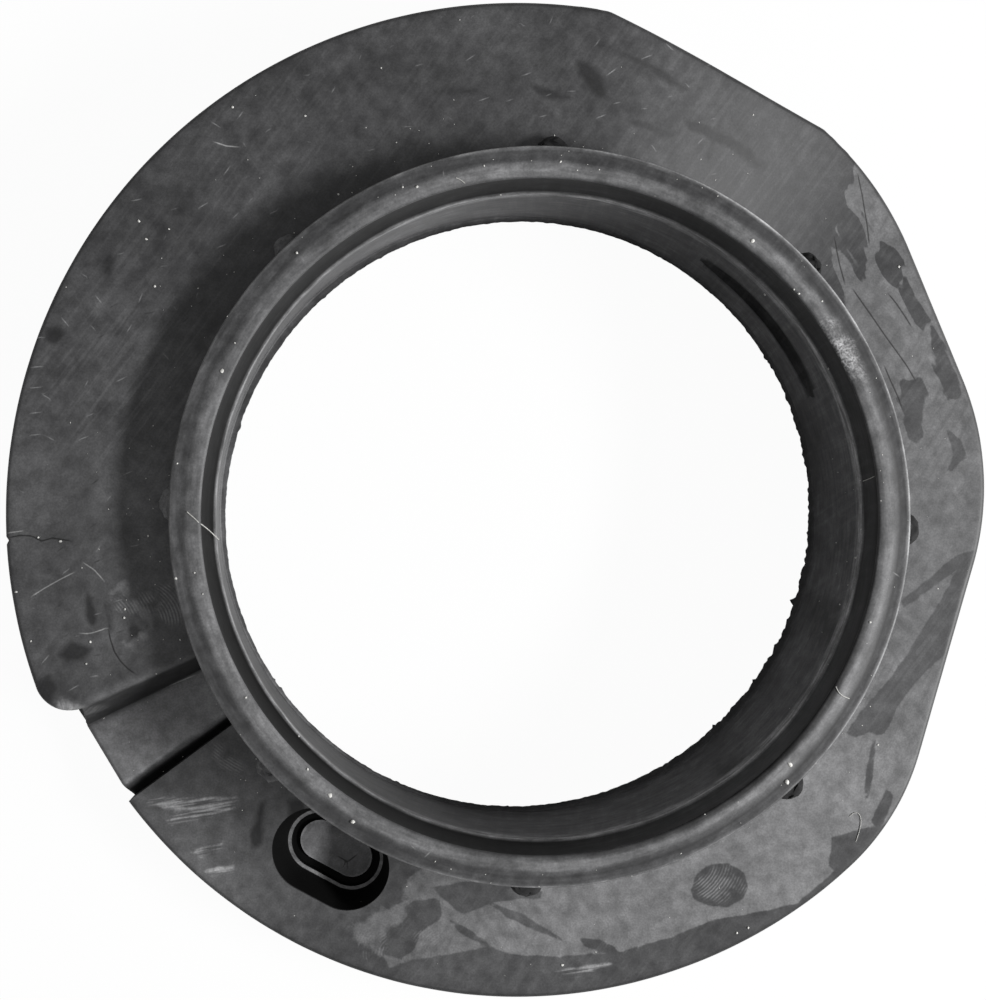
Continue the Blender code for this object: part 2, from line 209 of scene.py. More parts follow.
def stop_corner_radius(angle):
    """Distance to the rounded outer corner of the lobe, in the few degrees before the stop wall."""
    spread = degrees(STOP_CORNER_RADIUS / (FLANGE_RADIUS - STOP_CORNER_RADIUS))
    centre = direction(STOP_ANGLE - spread) * (FLANGE_RADIUS - STOP_CORNER_RADIUS)
    if not STOP_ANGLE - spread < angle <= STOP_ANGLE + 0.01:
        return FLANGE_RADIUS
    across = abs(centre.x * direction(angle).y - centre.y * direction(angle).x)
    if across > STOP_CORNER_RADIUS:
        return hypot(centre.length, STOP_CORNER_RADIUS)
    return ray_to_circle(centre, STOP_CORNER_RADIUS, angle)


# %% [markdown]
# ## Stations
# A station is one place where the section is drawn. They stand about half a degree apart, which is two
# thirds of a millimetre at the rim, and closer at the stop wall and at the panel's step, where the height
# changes at once.

# %% Stations round the ring
STATION_STEP = 0.43
CORNER_STATIONS = 9
WALL_STATIONS = 12
NOTCH_STATIONS = 9
STOP_EDGE_TURN = 75
STOP_EDGE_STEPS = 6
PANEL_STEP_WIDTH = 0.25 * MM


def spaced(start, end, count):
    return [start + (end - start) * index / count for index in range(count)]


def stop_edge():
    """The rounded upper edge of the stop wall, as (angle, height)."""
    edge_angle = degrees(STOP_EDGE_RADIUS / SEAT_MIDDLE_RADIUS)
    turns = [radians(STOP_EDGE_TURN) * index / STOP_EDGE_STEPS for index in range(STOP_EDGE_STEPS + 1)]
    return [
        (STOP_ANGLE - edge_angle * (1 - sin(turn)), LOBE_HEIGHT - STOP_EDGE_RADIUS * (1 - cos(turn)))
        for turn in turns
    ]


corner_start = STOP_ANGLE - degrees(STOP_CORNER_RADIUS / (FLANGE_RADIUS - STOP_CORNER_RADIUS))
step_start = PANEL_END_ANGLE - degrees(PANEL_STEP_WIDTH / SEAT_MIDDLE_RADIUS)
notch_start = PANEL_END_ANGLE - degrees(PANEL_NOTCH_WIDTH / SEAT_MIDDLE_RADIUS)
edge_stations = stop_edge()
coil_count = round((corner_start + 360 - PANEL_END_ANGLE) / STATION_STEP)
coil_angles = spaced(PANEL_END_ANGLE, corner_start + 360, coil_count)
coil_stations = [(angle, coil_height(angle)) for angle in coil_angles]
corner_angles = spaced(corner_start, edge_stations[0][0], CORNER_STATIONS)
corner_stations = [(angle, LOBE_HEIGHT) for angle in corner_angles]
panel_count = round((notch_start - STOP_FOOT_ANGLE) / STATION_STEP)
panel_angles = spaced(STOP_FOOT_ANGLE, notch_start, panel_count)
panel_angles += spaced(notch_start, step_start, NOTCH_STATIONS) + [step_start]
panel_stations = [(angle, panel_height(angle)) for angle in panel_angles]
seat_stations = coil_stations + corner_stations + edge_stations
print("stations:", len(seat_stations) + WALL_STATIONS + len(panel_stations))

# %% [markdown]
# ## The section
# Each section runs from the outer foot up over the seat, the collar and its crest, and down the funnel to
# the bore. It always has the same number of points, so that neighbouring sections join row by row. Arcs are
# drawn where the mould has a radius. The bore ends in a thin torn fin, the flash that the mould's parting
# leaves, and it is never even, so its reach comes from noise with a few longer nibs.

# %% Section sizes
SEAT_EDGE_RADIUS = 0.8 * MM
FOOT_RADIUS = 0.6 * MM
BASE_BAND = 0.4 * MM
ROOT_FILLET = 1.4 * MM
COLLAR_DRAFT = 0.5 * MM
COLLAR_HEIGHT = 27.0 * MM
CREST_RISE = 0.38 * MM
CREST_PEAK = 1.3 * MM
CREST_FOOT = 3.7 * MM
RIM_RADIUS = 0.4 * MM
FUNNEL_TOP_HEIGHT = 17.6 * MM
FUNNEL_FOOT_HEIGHT = 1.1 * MM
UNDERCUT_HEIGHT = 0.8 * MM
UNDERCUT_DEPTH = 0.45 * MM
INNER_GROOVE_DEPTH = 0.35 * MM
FLASH_ROOT = 0.55 * MM
FLASH_THICKNESS = 0.25 * MM
FLANGE_ROWS = 32
CREST_ROWS = 14
FUNNEL_ROWS = 9
RIM_HEIGHT = 26.5 * MM
OUTLINE_WANDER = 0.015 * MM
OUTLINE_INSET = 0.04 * MM
SEAT_SWELL = 0.06 * MM
SWELLS_PER_METRE = 40
SWELL_OUTER_MARGIN = 3 * MM
SWELL_INNER_MARGIN = 2 * MM
CREST_WANDER = 0.05 * MM
WALL_ROUGHNESS = 0.6 * MM
# Lumps on the stop wall: per metre outwards, per metre up, and over the whole slope
WALL_LUMPS = (700, 500, 3)


def arc(centre_radius, centre_height, radius, start, end, steps):
    """Points along an arc of the section, both ends included, angles from outwards towards up."""
    turns = [radians(start + (end - start) * index / steps) for index in range(steps + 1)]
    return [(centre_radius + radius * cos(turn), centre_height + radius * sin(turn)) for turn in turns]


def between(first, last, steps):
    """Points from just after first up to and including last, in a straight line."""
    shares = [(index + 1) / steps for index in range(steps)]
    return [tuple(a + (b - a) * share for a, b in zip(first, last)) for share in shares]


# Torn nibs and small steps that the mould left on the outline: (angle, reach, half width in degrees)
OUTLINE_NIBS = ((81.9, 0.42, 1.3), (49.9, 0.30, 0.5), (47.6, 0.28, 0.35), (183.0, -0.35, 0.25))


def outline_nib(angle):
    total = OUTLINE_WANDER * wander(angle, 90, 3.0) - OUTLINE_INSET
    for place, reach, width in OUTLINE_NIBS:
        away = abs((angle - place + 180) % 360 - 180) / width
        total += reach * MM * max(0.0, 1 - away * away)
    return total


def outer_side(angle, seat):
    edge = outline_radius(angle) + outline_nib(angle)
    upper = min(edge, stop_corner_radius(angle % 360) if seat > LOW_SEAT_HEIGHT else edge)
    band = min(PANEL_HEIGHT, seat - SEAT_EDGE_RADIUS - BASE_BAND)
    points = arc(edge - FOOT_RADIUS, FOOT_RADIUS, FOOT_RADIUS, -90, 0, 3)
    points += between(points[-1], (edge, band - BASE_BAND), 2)
    points += [(upper, band)]
    points += between(points[-1], (upper, seat - SEAT_EDGE_RADIUS), 3)
    return points + arc(upper - SEAT_EDGE_RADIUS, seat - SEAT_EDGE_RADIUS, SEAT_EDGE_RADIUS, 0, 90, 5)[1:]


def flange_top(angle, seat, start):
    """Across the seat, with the faint hollows of a hand-finished mould."""
    end = collar_circle(COLLAR_OUTER_RADIUS - COLLAR_DRAFT + ROOT_FILLET, angle)
    points = []
    for radius, height in between((start, seat), (end, seat), FLANGE_ROWS):
        place = direction(angle) * radius * SWELLS_PER_METRE
        swell = noise.noise(Vector((place.x, place.y, 0.4)))
        outer_share = smooth_step(start - radius, 0, SWELL_OUTER_MARGIN)
        edge = outer_share * smooth_step(radius - end, -0.001 * MM, SWELL_INNER_MARGIN)
        points.append((radius, height + SEAT_SWELL * (swell - 0.6) * edge))
    return points


def crest_lift(from_inside):
    """The bead on top of the collar: steep on the bore's side, fading out over the shoulder."""
    if from_inside < CREST_PEAK:
        return CREST_RISE * sqrt(max(0.0, 1 - (1 - from_inside / CREST_PEAK) ** 2))
    share = min(1.0, (from_inside - CREST_PEAK) / (CREST_FOOT - CREST_PEAK))
    return CREST_RISE * (0.5 + 0.5 * cos(pi * share))


def collar_side(angle, seat):
    root = COLLAR_OUTER_RADIUS - COLLAR_DRAFT
    points = arc(root + ROOT_FILLET, seat + ROOT_FILLET, ROOT_FILLET, 270, 180, 4)[1:]
    points += between(points[-1], (COLLAR_OUTER_RADIUS, RIM_HEIGHT - RIM_RADIUS), 4)
    points += arc(COLLAR_OUTER_RADIUS - RIM_RADIUS, RIM_HEIGHT - RIM_RADIUS, RIM_RADIUS, 0, 90, 4)[1:]
    top_width = COLLAR_OUTER_RADIUS - RIM_RADIUS - COLLAR_INNER_RADIUS
    for index in range(1, CREST_ROWS + 1):
        from_inside = top_width * (1 - index / CREST_ROWS) ** 1.3
        uneven = CREST_WANDER * (wander(angle, 60, from_inside / MM) - 1) * sin(pi * index / CREST_ROWS)
        points.append((COLLAR_INNER_RADIUS + from_inside, RIM_HEIGHT + crest_lift(from_inside) + uneven))
    return [(collar_circle(radius, angle), height) for radius, height in points]


# The fin's reach and how oval it is, in millimetres, and the angle where it reaches least
FLASH_REACH = 0.14
FLASH_OVAL = 0.33
FLASH_OVAL_ANGLE = 49.4


def flash_reach(angle):
    """How far the torn fin stands into the bore. The bore it leaves is a little oval."""
    rough = 0.35 + 0.65 * smooth_step(-abs((angle - 165) % 360 - 180) + 180, 115, 160)
    ragged = 0.24 * wander(angle, 150, 7.0) + 0.26 * wander(angle, 420, 9.0)
    nib = max(0.0, wander(angle, 300, 12.0) - 0.40) * 2.0
    oval = FLASH_OVAL * cos(radians(2 * (angle - FLASH_OVAL_ANGLE)))
    return (FLASH_REACH + (ragged + nib) * rough - oval) * MM


def inner_side(angle):
    """Down the grooved inner wall, over the lip, along the funnel and out to the flash."""
    top = collar_circle(COLLAR_INNER_RADIUS, angle)
    wall_foot = FUNNEL_TOP_HEIGHT + UNDERCUT_HEIGHT
    points = []
    for radius, height in between((top, RIM_HEIGHT), (top, wall_foot), 6):
        share = (RIM_HEIGHT - height) / (RIM_HEIGHT - wall_foot)
        points.append((radius + INNER_GROOVE_DEPTH * sin(pi * share) ** 0.7, height))
    lip = collar_circle(COLLAR_INNER_RADIUS - UNDERCUT_DEPTH, angle)
    points += [(lip + 0.08 * MM, FUNNEL_TOP_HEIGHT + 0.25 * MM)]
    funnel_foot = BORE_RADIUS + FLASH_ROOT
    points += between((lip, FUNNEL_TOP_HEIGHT), (funnel_foot, FUNNEL_FOOT_HEIGHT), FUNNEL_ROWS)
    # The last points are the fin: its root, its upper face, its tip and its underside
    tip = BORE_RADIUS - flash_reach(angle)
    points += [(funnel_foot + 0.2 * MM, 0.65 * MM), (funnel_foot - 0.1 * MM, 0.1 * MM + FLASH_THICKNESS)]
    return points + [(tip, 0.04 * MM + FLASH_THICKNESS), (tip - 0.02 * MM, 0.02 * MM), (funnel_foot, 0.0)]


def section(angle, seat):
    outer = outer_side(angle, seat)
    seat_rows = flange_top(angle, seat, outer[-1][0])
    ring = outer + seat_rows + collar_side(angle, seat) + inner_side(angle)
    underside = between((ring[-1][0], 0.0), ring[0], 4)[:-1]
    return ring + underside


def stop_wall(upper, lower):
    """Sections down the stop wall: straight between its edge and its foot, with a torn, rough face."""
    made = []
    for index in range(1, WALL_STATIONS + 1):
        share = index / (WALL_STATIONS + 1)
        angle = upper[0] + (lower[0] - upper[0]) * share
        points = []
        for (r1, z1), (r2, z2) in zip(upper[1], lower[1]):
            radius, height = r1 + (r2 - r1) * share, z1 + (z2 - z1) * share
            place = Vector((radius * WALL_LUMPS[0], height * WALL_LUMPS[1], share * WALL_LUMPS[2]))
            rough = WALL_ROUGHNESS * noise.noise(place) * min(1.0, abs(z1 - z2) / LOBE_HEIGHT * 2)
            points.append((radius, height + rough * sin(pi * share)))
        made.append((angle, points))
    return made


drawn = [(angle, section(angle, seat)) for angle, seat in seat_stations]
foot = (STOP_FOOT_ANGLE, section(*panel_stations[0]))
drawn += stop_wall(drawn[-1], foot)
drawn += [(angle, section(angle, seat)) for angle, seat in panel_stations]
print("sections:", len(drawn), "of", len(drawn[0][1]), "points")

# %% [markdown]
# ## Spinning the ring
# A circle spun about the bore's axis makes a torus: a closed skin with a known order of rings. Each of its
# points then moves to its place on the section at its station. That keeps the mesh closed and its faces
# square, and it's quicker and cleaner than a boolean of many simple solids.

# %% Spin and shape
SMOOTH_ANGLE = 32


def spin_torus(rings, points):
    """A closed torus of this many rings and points, wide enough for the ring's sections."""
    shape = bmesh.new()
    stand_up = Matrix.Translation((2, 0, 0)) @ Matrix.Rotation(pi / 2, 4, "X")
    made = bmesh.ops.create_circle(shape, segments=points, radius=1, matrix=stand_up)
    edges = list({edge for vertex in made["verts"] for edge in vertex.link_edges})
    bmesh.ops.spin(shape, geom=made["verts"] + edges, cent=(0, 0, 0), axis=(0, 0, 1), angle=2 * pi,
                   steps=rings, use_merge=True)
    return shape


def place_on_sections(shape, sections):
    """Moves each point of the torus to the point of the section that it stands for."""
    rings, points = len(sections), len(sections[0][1])
    for vertex in shape.verts:
        x, y, z = vertex.co
        ring = round(atan2(y, x) / (2 * pi) * rings) % rings
        point = round(atan2(z, hypot(x, y) - 2) / (2 * pi) * points) % points
        angle, outline = sections[ring]
        radius, height = outline[point]
        vertex.co = (*(BORE_AXIS + direction(angle) * radius), height)


def finish_mesh(name, shape, smooth_angle=SMOOTH_ANGLE):
    """Turns a bmesh into an object at the origin, faces outwards, smooth but at edges over the angle."""
    bmesh.ops.recalc_face_normals(shape, faces=shape.faces)
    mesh = bpy.data.meshes.new(name)
    shape.to_mesh(mesh)
    shape.free()
    mesh.shade_smooth()
    mesh.set_sharp_from_angle(angle=radians(smooth_angle))
    made = bpy.data.objects.new(name, mesh)
    bpy.context.scene.collection.objects.link(made)
    return made


ring_shape = spin_torus(len(drawn), len(drawn[0][1]))
place_on_sections(ring_shape, drawn)
body = finish_mesh("spring_seat_body", ring_shape)
print("ring:", len(body.data.vertices), "points,", len(body.data.polygons), "faces")

# %% [markdown]
# ## Ribs, pocket and slot
# Eight round-nosed ribs stand on the collar's outer wall and grip the coil. They come out of the mould torn
# and lumpy at the top, so each is a beveled cylinder roughened by noise. The pocket locates a peg of the
# mating part and has a ledge just above its floor. The slot is a crescent where a ring-shaped tool bites
# into the funnel. All three are joined to or cut from the ring with booleans, as the mould itself does.

# %% Ribs
RIB_COUNT = 8
RIB_START_ANGLE = -2.0
RIB_RADIUS = 2.5 * MM
RIB_REACH = 2.9 * MM
RIB_TOP_HEIGHT = 23.4 * MM
RIB_FOOT_HEIGHT = 3.0 * MM
RIB_EDGE_RADIUS = 0.9 * MM
RIB_TORN_LENGTH = 5 * MM

ribs_shape = bmesh.new()
for index in range(RIB_COUNT):
    nose = COLLAR_OUTER_RADIUS - COLLAR_DRAFT + RIB_REACH - RIB_RADIUS
    place = BORE_AXIS + COLLAR_OFFSET + direction(RIB_START_ANGLE + 360 / RIB_COUNT * index) * nose
    height = RIB_TOP_HEIGHT - RIB_FOOT_HEIGHT
    bmesh.ops.create_cone(ribs_shape, cap_ends=True, segments=28, radius1=RIB_RADIUS, radius2=RIB_RADIUS,
                          depth=height, matrix=Matrix.Translation((*place, RIB_FOOT_HEIGHT + height / 2)))
rib_tops = [edge for edge in ribs_shape.edges
            if all(vertex.co.z > RIB_TOP_HEIGHT - 0.01 * MM for vertex in edge.verts)]
bmesh.ops.bevel(ribs_shape, geom=rib_tops, offset=RIB_EDGE_RADIUS, segments=4, profile=0.5,
                affect="EDGES", material=-1)
upper_rib = [edge for edge in ribs_shape.edges if edge.calc_length() > 10 * MM]
bmesh.ops.subdivide_edges(ribs_shape, edges=upper_rib, cuts=24, use_grid_fill=True)
# The torn top sinks by about half a millimetre and is pushed sideways by up to a third of one
for vertex in ribs_shape.verts:
    lump = noise.noise(vertex.co * 900) + 0.5 * noise.noise(vertex.co * 2100)
    torn = smooth_step(vertex.co.z, RIB_TOP_HEIGHT - RIB_TORN_LENGTH, RIB_TOP_HEIGHT)
    vertex.co.z -= 0.5 * MM * torn * (0.6 + lump)
    vertex.co.xy += Vector((lump, noise.noise(vertex.co * 900 + Vector((5, 5, 5))))) * 0.35 * MM * torn
ribs = finish_mesh("rib_tool", ribs_shape)

# %% Pocket
POCKET_ANGLE = 241.6
POCKET_CENTRE_RADIUS = 62.4 * MM
POCKET_STRAIGHT = 5.9 * MM
PAD_CUTS = 12
PAD_REACH = (6.3, 3.3)
PAD_HEIGHT = 1.2
# (half width, height) in millimetres: the pad, the groove round it, the ledge, and up to above the seat
POCKET_LEVELS = ((3.25, PAD_HEIGHT), (3.3, 1.05), (3.4, 0.7), (4.5, 0.7), (4.62, 1.65), (4.65, 1.8),
                 (5.15, 1.8), (5.2, 2.0), (6.7, 8.1), (6.8, 8.5), (7.29, 10.5))


def obround_loop(shape, half_width, height):
    """A closed loop of edges with two straight sides, long along X."""
    made = bmesh.ops.create_circle(shape, segments=64, radius=half_width * MM)
    for vertex in made["verts"]:
        vertex.co.x += POCKET_STRAIGHT / 2 if vertex.co.x > 0 else -POCKET_STRAIGHT / 2
        vertex.co.z = height * MM
    return list({edge for vertex in made["verts"] for edge in vertex.link_edges})


pocket_shape = bmesh.new()
pocket_loops = [obround_loop(pocket_shape, *level) for level in POCKET_LEVELS]
for lower, upper in zip(pocket_loops, pocket_loops[1:]):
    bmesh.ops.bridge_loops(pocket_shape, edges=lower + upper)
bmesh.ops.contextual_create(pocket_shape, geom=pocket_loops[0])
bmesh.ops.contextual_create(pocket_shape, geom=pocket_loops[-1])
# The pad is cut into a grid, so that it can carry marks
for axis, reach in enumerate(PAD_REACH):
    for index in range(-PAD_CUTS, PAD_CUTS + 1):
        square = [float(axis == 0), float(axis == 1), 0.0]
        pad_faces = [face for face in pocket_shape.faces
                     if all(abs(vertex.co.z - PAD_HEIGHT * MM) < 0.001 * MM for vertex in face.verts)]
        pad_parts = {part for face in pad_faces for part in (face, *face.edges, *face.verts)}
        cut_place = [value * (index / PAD_CUTS * reach + 0.01) * MM for value in square]
        bmesh.ops.bisect_plane(pocket_shape, geom=list(pad_parts), plane_no=square, plane_co=cut_place)
pocket_place = BORE_AXIS + direction(POCKET_ANGLE) * POCKET_CENTRE_RADIUS
pocket_turn = Matrix.Rotation(radians(POCKET_ANGLE + 90), 4, "Z")
bmesh.ops.transform(pocket_shape, matrix=Matrix.Translation((*pocket_place, 0)) @ pocket_turn,
                    verts=pocket_shape.verts)
pocket = finish_mesh("pocket_tool", pocket_shape)

# %% Crescent slot
SLOT_ANGLE = 36.5
SLOT_HEIGHT = 9.5 * MM
SLOT_HALF_SPREAD = 17.0
SLOT_DEPTH = 2.2 * MM
SLOT_HALF_WIDTH = 2.0 * MM
FLASH_TOP_HEIGHT = 0.9 * MM

# How far the funnel's wall stands from the axis at the slot's height
share = (SLOT_HEIGHT - FLASH_TOP_HEIGHT) / (FUNNEL_TOP_HEIGHT - FLASH_TOP_HEIGHT)
lip_radius = collar_circle(COLLAR_INNER_RADIUS - UNDERCUT_DEPTH, SLOT_ANGLE)
wall = BORE_RADIUS + (lip_radius - BORE_RADIUS) * share
reach = wall + SLOT_DEPTH
slot_offset = (reach * reach - wall * wall) / (2 * (reach - wall * cos(radians(SLOT_HALF_SPREAD))))
slot_shape = bmesh.new()
made = bmesh.ops.create_circle(slot_shape, segments=24, radius=SLOT_HALF_WIDTH,
                               matrix=Matrix.Rotation(pi / 2, 4, "X"))
bmesh.ops.translate(slot_shape, vec=(reach - slot_offset - SLOT_HALF_WIDTH, 0, 0), verts=made["verts"])
bmesh.ops.spin(slot_shape, geom=slot_shape.verts[:] + slot_shape.edges[:], cent=(0, 0, 0), axis=(0, 0, 1),
               angle=2 * pi, steps=180, use_merge=True)
slot_place = BORE_AXIS + direction(SLOT_ANGLE) * slot_offset
bmesh.ops.translate(slot_shape, vec=(*slot_place, SLOT_HEIGHT), verts=slot_shape.verts)
slot_tool = finish_mesh("slot_tool", slot_shape)

# %% Join and cut


def apply_booleans(target, jobs):
    """Joins and cuts, then keeps the result as the target's own mesh and removes the tools."""
    for operation, tool in jobs:
        modifier = target.modifiers.new(tool.name, "BOOLEAN")
        modifier.operation = operation
        modifier.solver = "EXACT"
        modifier.object = tool
    graph = bpy.context.evaluated_depsgraph_get()
    result = bpy.data.meshes.new_from_object(target.evaluated_get(graph))
    target.modifiers.clear()
    target.data = result
    for operation, tool in jobs:
        bpy.data.objects.remove(tool, do_unlink=True)
    result.shade_smooth()
    result.set_sharp_from_angle(angle=radians(SMOOTH_ANGLE))


apply_booleans(body, [("UNION", ribs), ("DIFFERENCE", pocket), ("DIFFERENCE", slot_tool)])
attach(body, "root")
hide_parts("spring_seat")
body.data.calc_loop_triangles()
skin = bmesh.new()
skin.from_mesh(body.data)
CUBIC_CENTIMETRES = 1e6
print("body:", len(body.data.loop_triangles), "triangles,", round(skin.calc_volume() * CUBIC_CENTIMETRES, 1),
      "cubic centimetres,", sum(edge.is_boundary for edge in skin.edges), "open edges,",
      sum(len(edge.link_faces) > 2 for edge in skin.edges), "edges that more than two faces share")
skin.free()

# %% [markdown]
# # Marks on the rubber
# A used rubber seat is never one even black. Grease from the spring leaves a smooth grey film, fingers wipe
# parts of it away and leave ridges in the rest, and deep corners get painted shade, nearly black. Each mark
# has its own place, so a pattern repeated over the whole ring can't draw it. Its border is written as a few
# points in millimetres about the bore's axis, and every point of the mesh keeps its distance to that border.
# Such a distance stays true between mesh points, so the material can draw a crisp edge on a coarse mesh.

# %% The surface in millimetres
coordinates = np.empty(len(body.data.vertices) * 3)
body.data.vertices.foreach_get("co", coordinates)
X, Y, Z = coordinates.reshape(-1, 3).T / MM
X = X - BORE_AXIS.x / MM
Y = Y - BORE_AXIS.y / MM
FROM_BORE = np.hypot(X, Y)
FROM_COLLAR = np.hypot(X - COLLAR_OFFSET.x / MM, Y - COLLAR_OFFSET.y / MM)
ANGLE = np.degrees(np.arctan2(Y, X)) % 360
FAR = 9.0
normals = np.empty(len(body.data.vertices) * 3)
body.data.vertex_normals.foreach_get("vector", normals)
FACES_UP = normals.reshape(-1, 3)[:, 2] > 0.35
WHOLE_ANGLES = range(361)
SEAT = np.interp(ANGLE, WHOLE_ANGLES, [coil_height(angle) / MM for angle in WHOLE_ANGLES])
SEAT = np.where((ANGLE > STOP_FOOT_ANGLE) & (ANGLE < PANEL_END_ANGLE), PANEL_HEIGHT / MM, SEAT)
ON_SEAT = (FROM_COLLAR > (COLLAR_OUTER_RADIUS - COLLAR_DRAFT) / MM) & (Z > PANEL_HEIGHT / MM - 1)
ON_SEAT = ON_SEAT & (Z < SEAT + 1.2)
IN_FUNNEL = ((FROM_COLLAR < 49.9) | (FROM_BORE < 49.3)) & (Z < 17.4) & (Z > 0.6)
print("marks are kept on", len(X), "points")

kept_names = []


def keep_on_body(name, values):
    """Stores one number for each point of the body, for its material to read."""
    kept = body.data.attributes.new(name, "FLOAT", "POINT")
    kept.data.foreach_set("value", values.astype(np.float32))
    kept_names.append(name)


def rise(values, start, end):
    """smooth_step for a whole array of numbers."""
    share = np.clip((values - start) / (end - start), 0, 1)
    return share * share * (3 - 2 * share)


def fall(values, start, end):
    """Falls from 1 at start to 0 at end."""
    return rise(-values, -end, -start)


def around(*shares):
    """How strong a mark is round the ring: one share every 45 degrees from +X."""
    return np.interp(ANGLE, range(0, 361, 45), shares + shares[:1])


# %% Distances to borders and lines


def inside_border(border):
    """Distance to a closed border in millimetres, positive inside it."""
    nearest = np.full(len(X), FAR)
    crossings = np.zeros(len(X), dtype=int)
    for (x1, y1), (x2, y2) in zip(border, border[1:] + border[:1]):
        run, climb = x2 - x1, y2 - y1
        share = np.clip(((X - x1) * run + (Y - y1) * climb) / (run * run + climb * climb), 0, 1)
        nearest = np.minimum(nearest, np.hypot(X - x1 - run * share, Y - y1 - climb * share))
        if climb:
            crossings += ((Y >= y1) != (Y >= y2)) & (X < x1 + (Y - y1) * run / climb)
    return np.where(crossings % 2 == 1, nearest, -nearest)


def nearest_line(lines):
    """Distance across and along the nearest of some open lines: across changes sign from side to side,
    and along is positive between the line's ends."""
    across, along = np.full(len(X), FAR), np.full(len(X), -FAR)
    for line in lines:
        travelled = 0.0
        for index, ((x1, y1), (x2, y2)) in enumerate(zip(line, line[1:])):
            length = hypot(x2 - x1, y2 - y1)
            ux, uy = (x2 - x1) / length, (y2 - y1) / length
            ahead = (X - x1) * ux + (Y - y1) * uy
            side = (Y - y1) * ux - (X - x1) * uy
            before = ahead if index == 0 else ahead + travelled + 1
            after = length - ahead if index == len(line) - 2 else length - ahead + 1
            off = np.hypot(side, np.maximum(0, np.maximum(-ahead, ahead - length)))
            closer = off < np.abs(across)
            across = np.where(closer, np.where(side < 0, -off, off), across)
            along = np.where(closer, np.minimum(before, after), along)
            travelled += length
    return across, np.where(np.abs(across) < 1.0, along, -FAR)


# %% [markdown]
# ## The greasy film
# The film lies on the half of the flange that the light falls on. It's even and a little glossy, and ends
# at a clean border. Where a finger or a cloth has been, the bare rubber shows with the same clean border. One
# large border takes the film in and smaller ones cut it away, which is how it came about.

# %% Film
FILM_BORDER = (
    (53.5, 54.4), (58.1, 50.4), (62.9, 43.3), (67.7, 33.8), (71.6, 22.8), (76, 11.7), (76, 0.6),
    (75, -7.3), (72, -16.8), (69, -27.8), (65, -38.1), (61, -47), (54.6, -52.4), (49.6, -57.2),
    (44.4, -61.7), (38.6, -63.2), (31.1, -64.5), (24.8, -67.2), (16.4, -69.6), (6.8, -70.4),
    (-0.6, -70.1), (-4.3, -68.8), (-9.9, -69.8), (-16.5, -70.9), (-20.2, -72.2), (-23.1, -67.7),
    (-21, -59.8), (-15.4, -56.6), (-2.7, -45.5), (29, -45.4), (52.7, -21.5), (52.7, 18), (50, 43.9),
)
WIPED = {
    "tongue": ((-21.3, -66.1), (-16.5, -61.4), (-12.2, -61.1), (-11.9, -64.1), (-15.4, -66.6),
               (-16.5, -69.3), (-18.6, -70.9), (-21.8, -69.8)),
    "beside_pocket": ((-20.2, -55), (-17.5, -58.2), (-17, -60.9), (-20.2, -63), (-22.6, -61.4),
                      (-22.6, -55)),
    "under_collar": ((-13.8, -59.3), (-5.9, -58.2), (-2.2, -59), (4.1, -59.8), (3.7, -61.1),
                     (-1.6, -61.4), (-4.3, -61.9), (-8.6, -63.8), (-11.1, -61.7)),
    "long_spike": ((-4.6, -61.7), (1, -63.6), (7.5, -67.9), (3.7, -66.6), (-1.4, -64.2)),
    "short_spike": ((-11.1, -64.2), (-8, -65.8), (-4.6, -68.2), (-6.2, -68.2), (-9.4, -66.3)),
    "leaf": ((9.7, -67.3), (13.2, -67.7), (15.3, -68.7), (16.4, -70), (13.2, -69.8), (10.5, -68.4)),
    "thumb": ((27.6, -59.8), (28.5, -57.3), (30.8, -55.6), (33.6, -55.4), (36, -57), (36.7, -59.3),
              (35.8, -61.2), (33.4, -62.4), (30.4, -62.2), (28.3, -61.3)),
    "bar": ((60.9, -13.6), (65.3, -10.1), (69.3, -6.6), (72.4, -5.7), (72, -8.1), (69.3, -9),
            (65.3, -12), (61, -14.9)),
    "wedge": ((71.6, -7.7), (70.4, -11.7), (69.1, -16.8), (67.5, -22.3), (64.8, -24.8), (62.9, -26.7),
              (60.6, -29.9), (58, -35), (55.5, -34.5), (53.6, -35.3), (51.9, -34.8), (54.6, -31),
              (58.2, -27), (61.4, -22.6), (64.1, -18.3), (66.9, -13.9), (69.3, -9.2)),
    "drip": ((56.8, -34.2), (56.6, -38.4), (56.1, -42.1), (55.5, -45.2), (54.9, -45.1), (55.4, -40.5),
             (56.1, -36.5)),
    "rim_smudge": ((58.5, -43.3), (59.5, -44.6), (58.4, -47.8), (57.4, -50.2), (56, -48.7)),
    "south_east": ((49.9, -51.3), (52.7, -50.3), (56.3, -49.4), (59.5, -48.9), (54.3, -54.8),
                   (51.5, -57.3), (49.4, -55.8)),
    "north_east_outer": ((56.5, 41.8), (58.2, 42.7), (60.1, 41.9), (61.5, 40.2), (61, 37), (59.2, 36.1),
                         (57.7, 36.9), (56.5, 39.2)),
    "north_east_inner": ((50.6, 48.2), (54.5, 47.5), (55.3, 44.6), (55.8, 40.2), (55.4, 36.7),
                         (54.2, 37.6), (53.3, 40), (51.5, 42), (50.3, 44.8)),
    "outer_strip": ((61.5, 39.2), (63.1, 34.2), (65.5, 30.7), (64.2, 28.6), (62.8, 29.9), (61.5, 32.7),
                    (60.9, 36.1)),
    "east_patch": ((60.7, 21), (63.9, 21.4), (64.5, 18.7), (64.2, 13), (63.3, 11.5), (62, 12.2),
                   (61.5, 15.7), (60.4, 18)),
    "east_bite": ((68.2, 13), (70.1, 11.7), (71, 8.9), (69.3, 7), (67.9, 6.6), (68.8, 9.3)),
    "east_outer": ((65.3, 30.4), (67.5, 26.7), (69.4, 22.5), (70.4, 18.8), (68.5, 18.3), (66.9, 22),
                   (65.2, 25.9)),
}

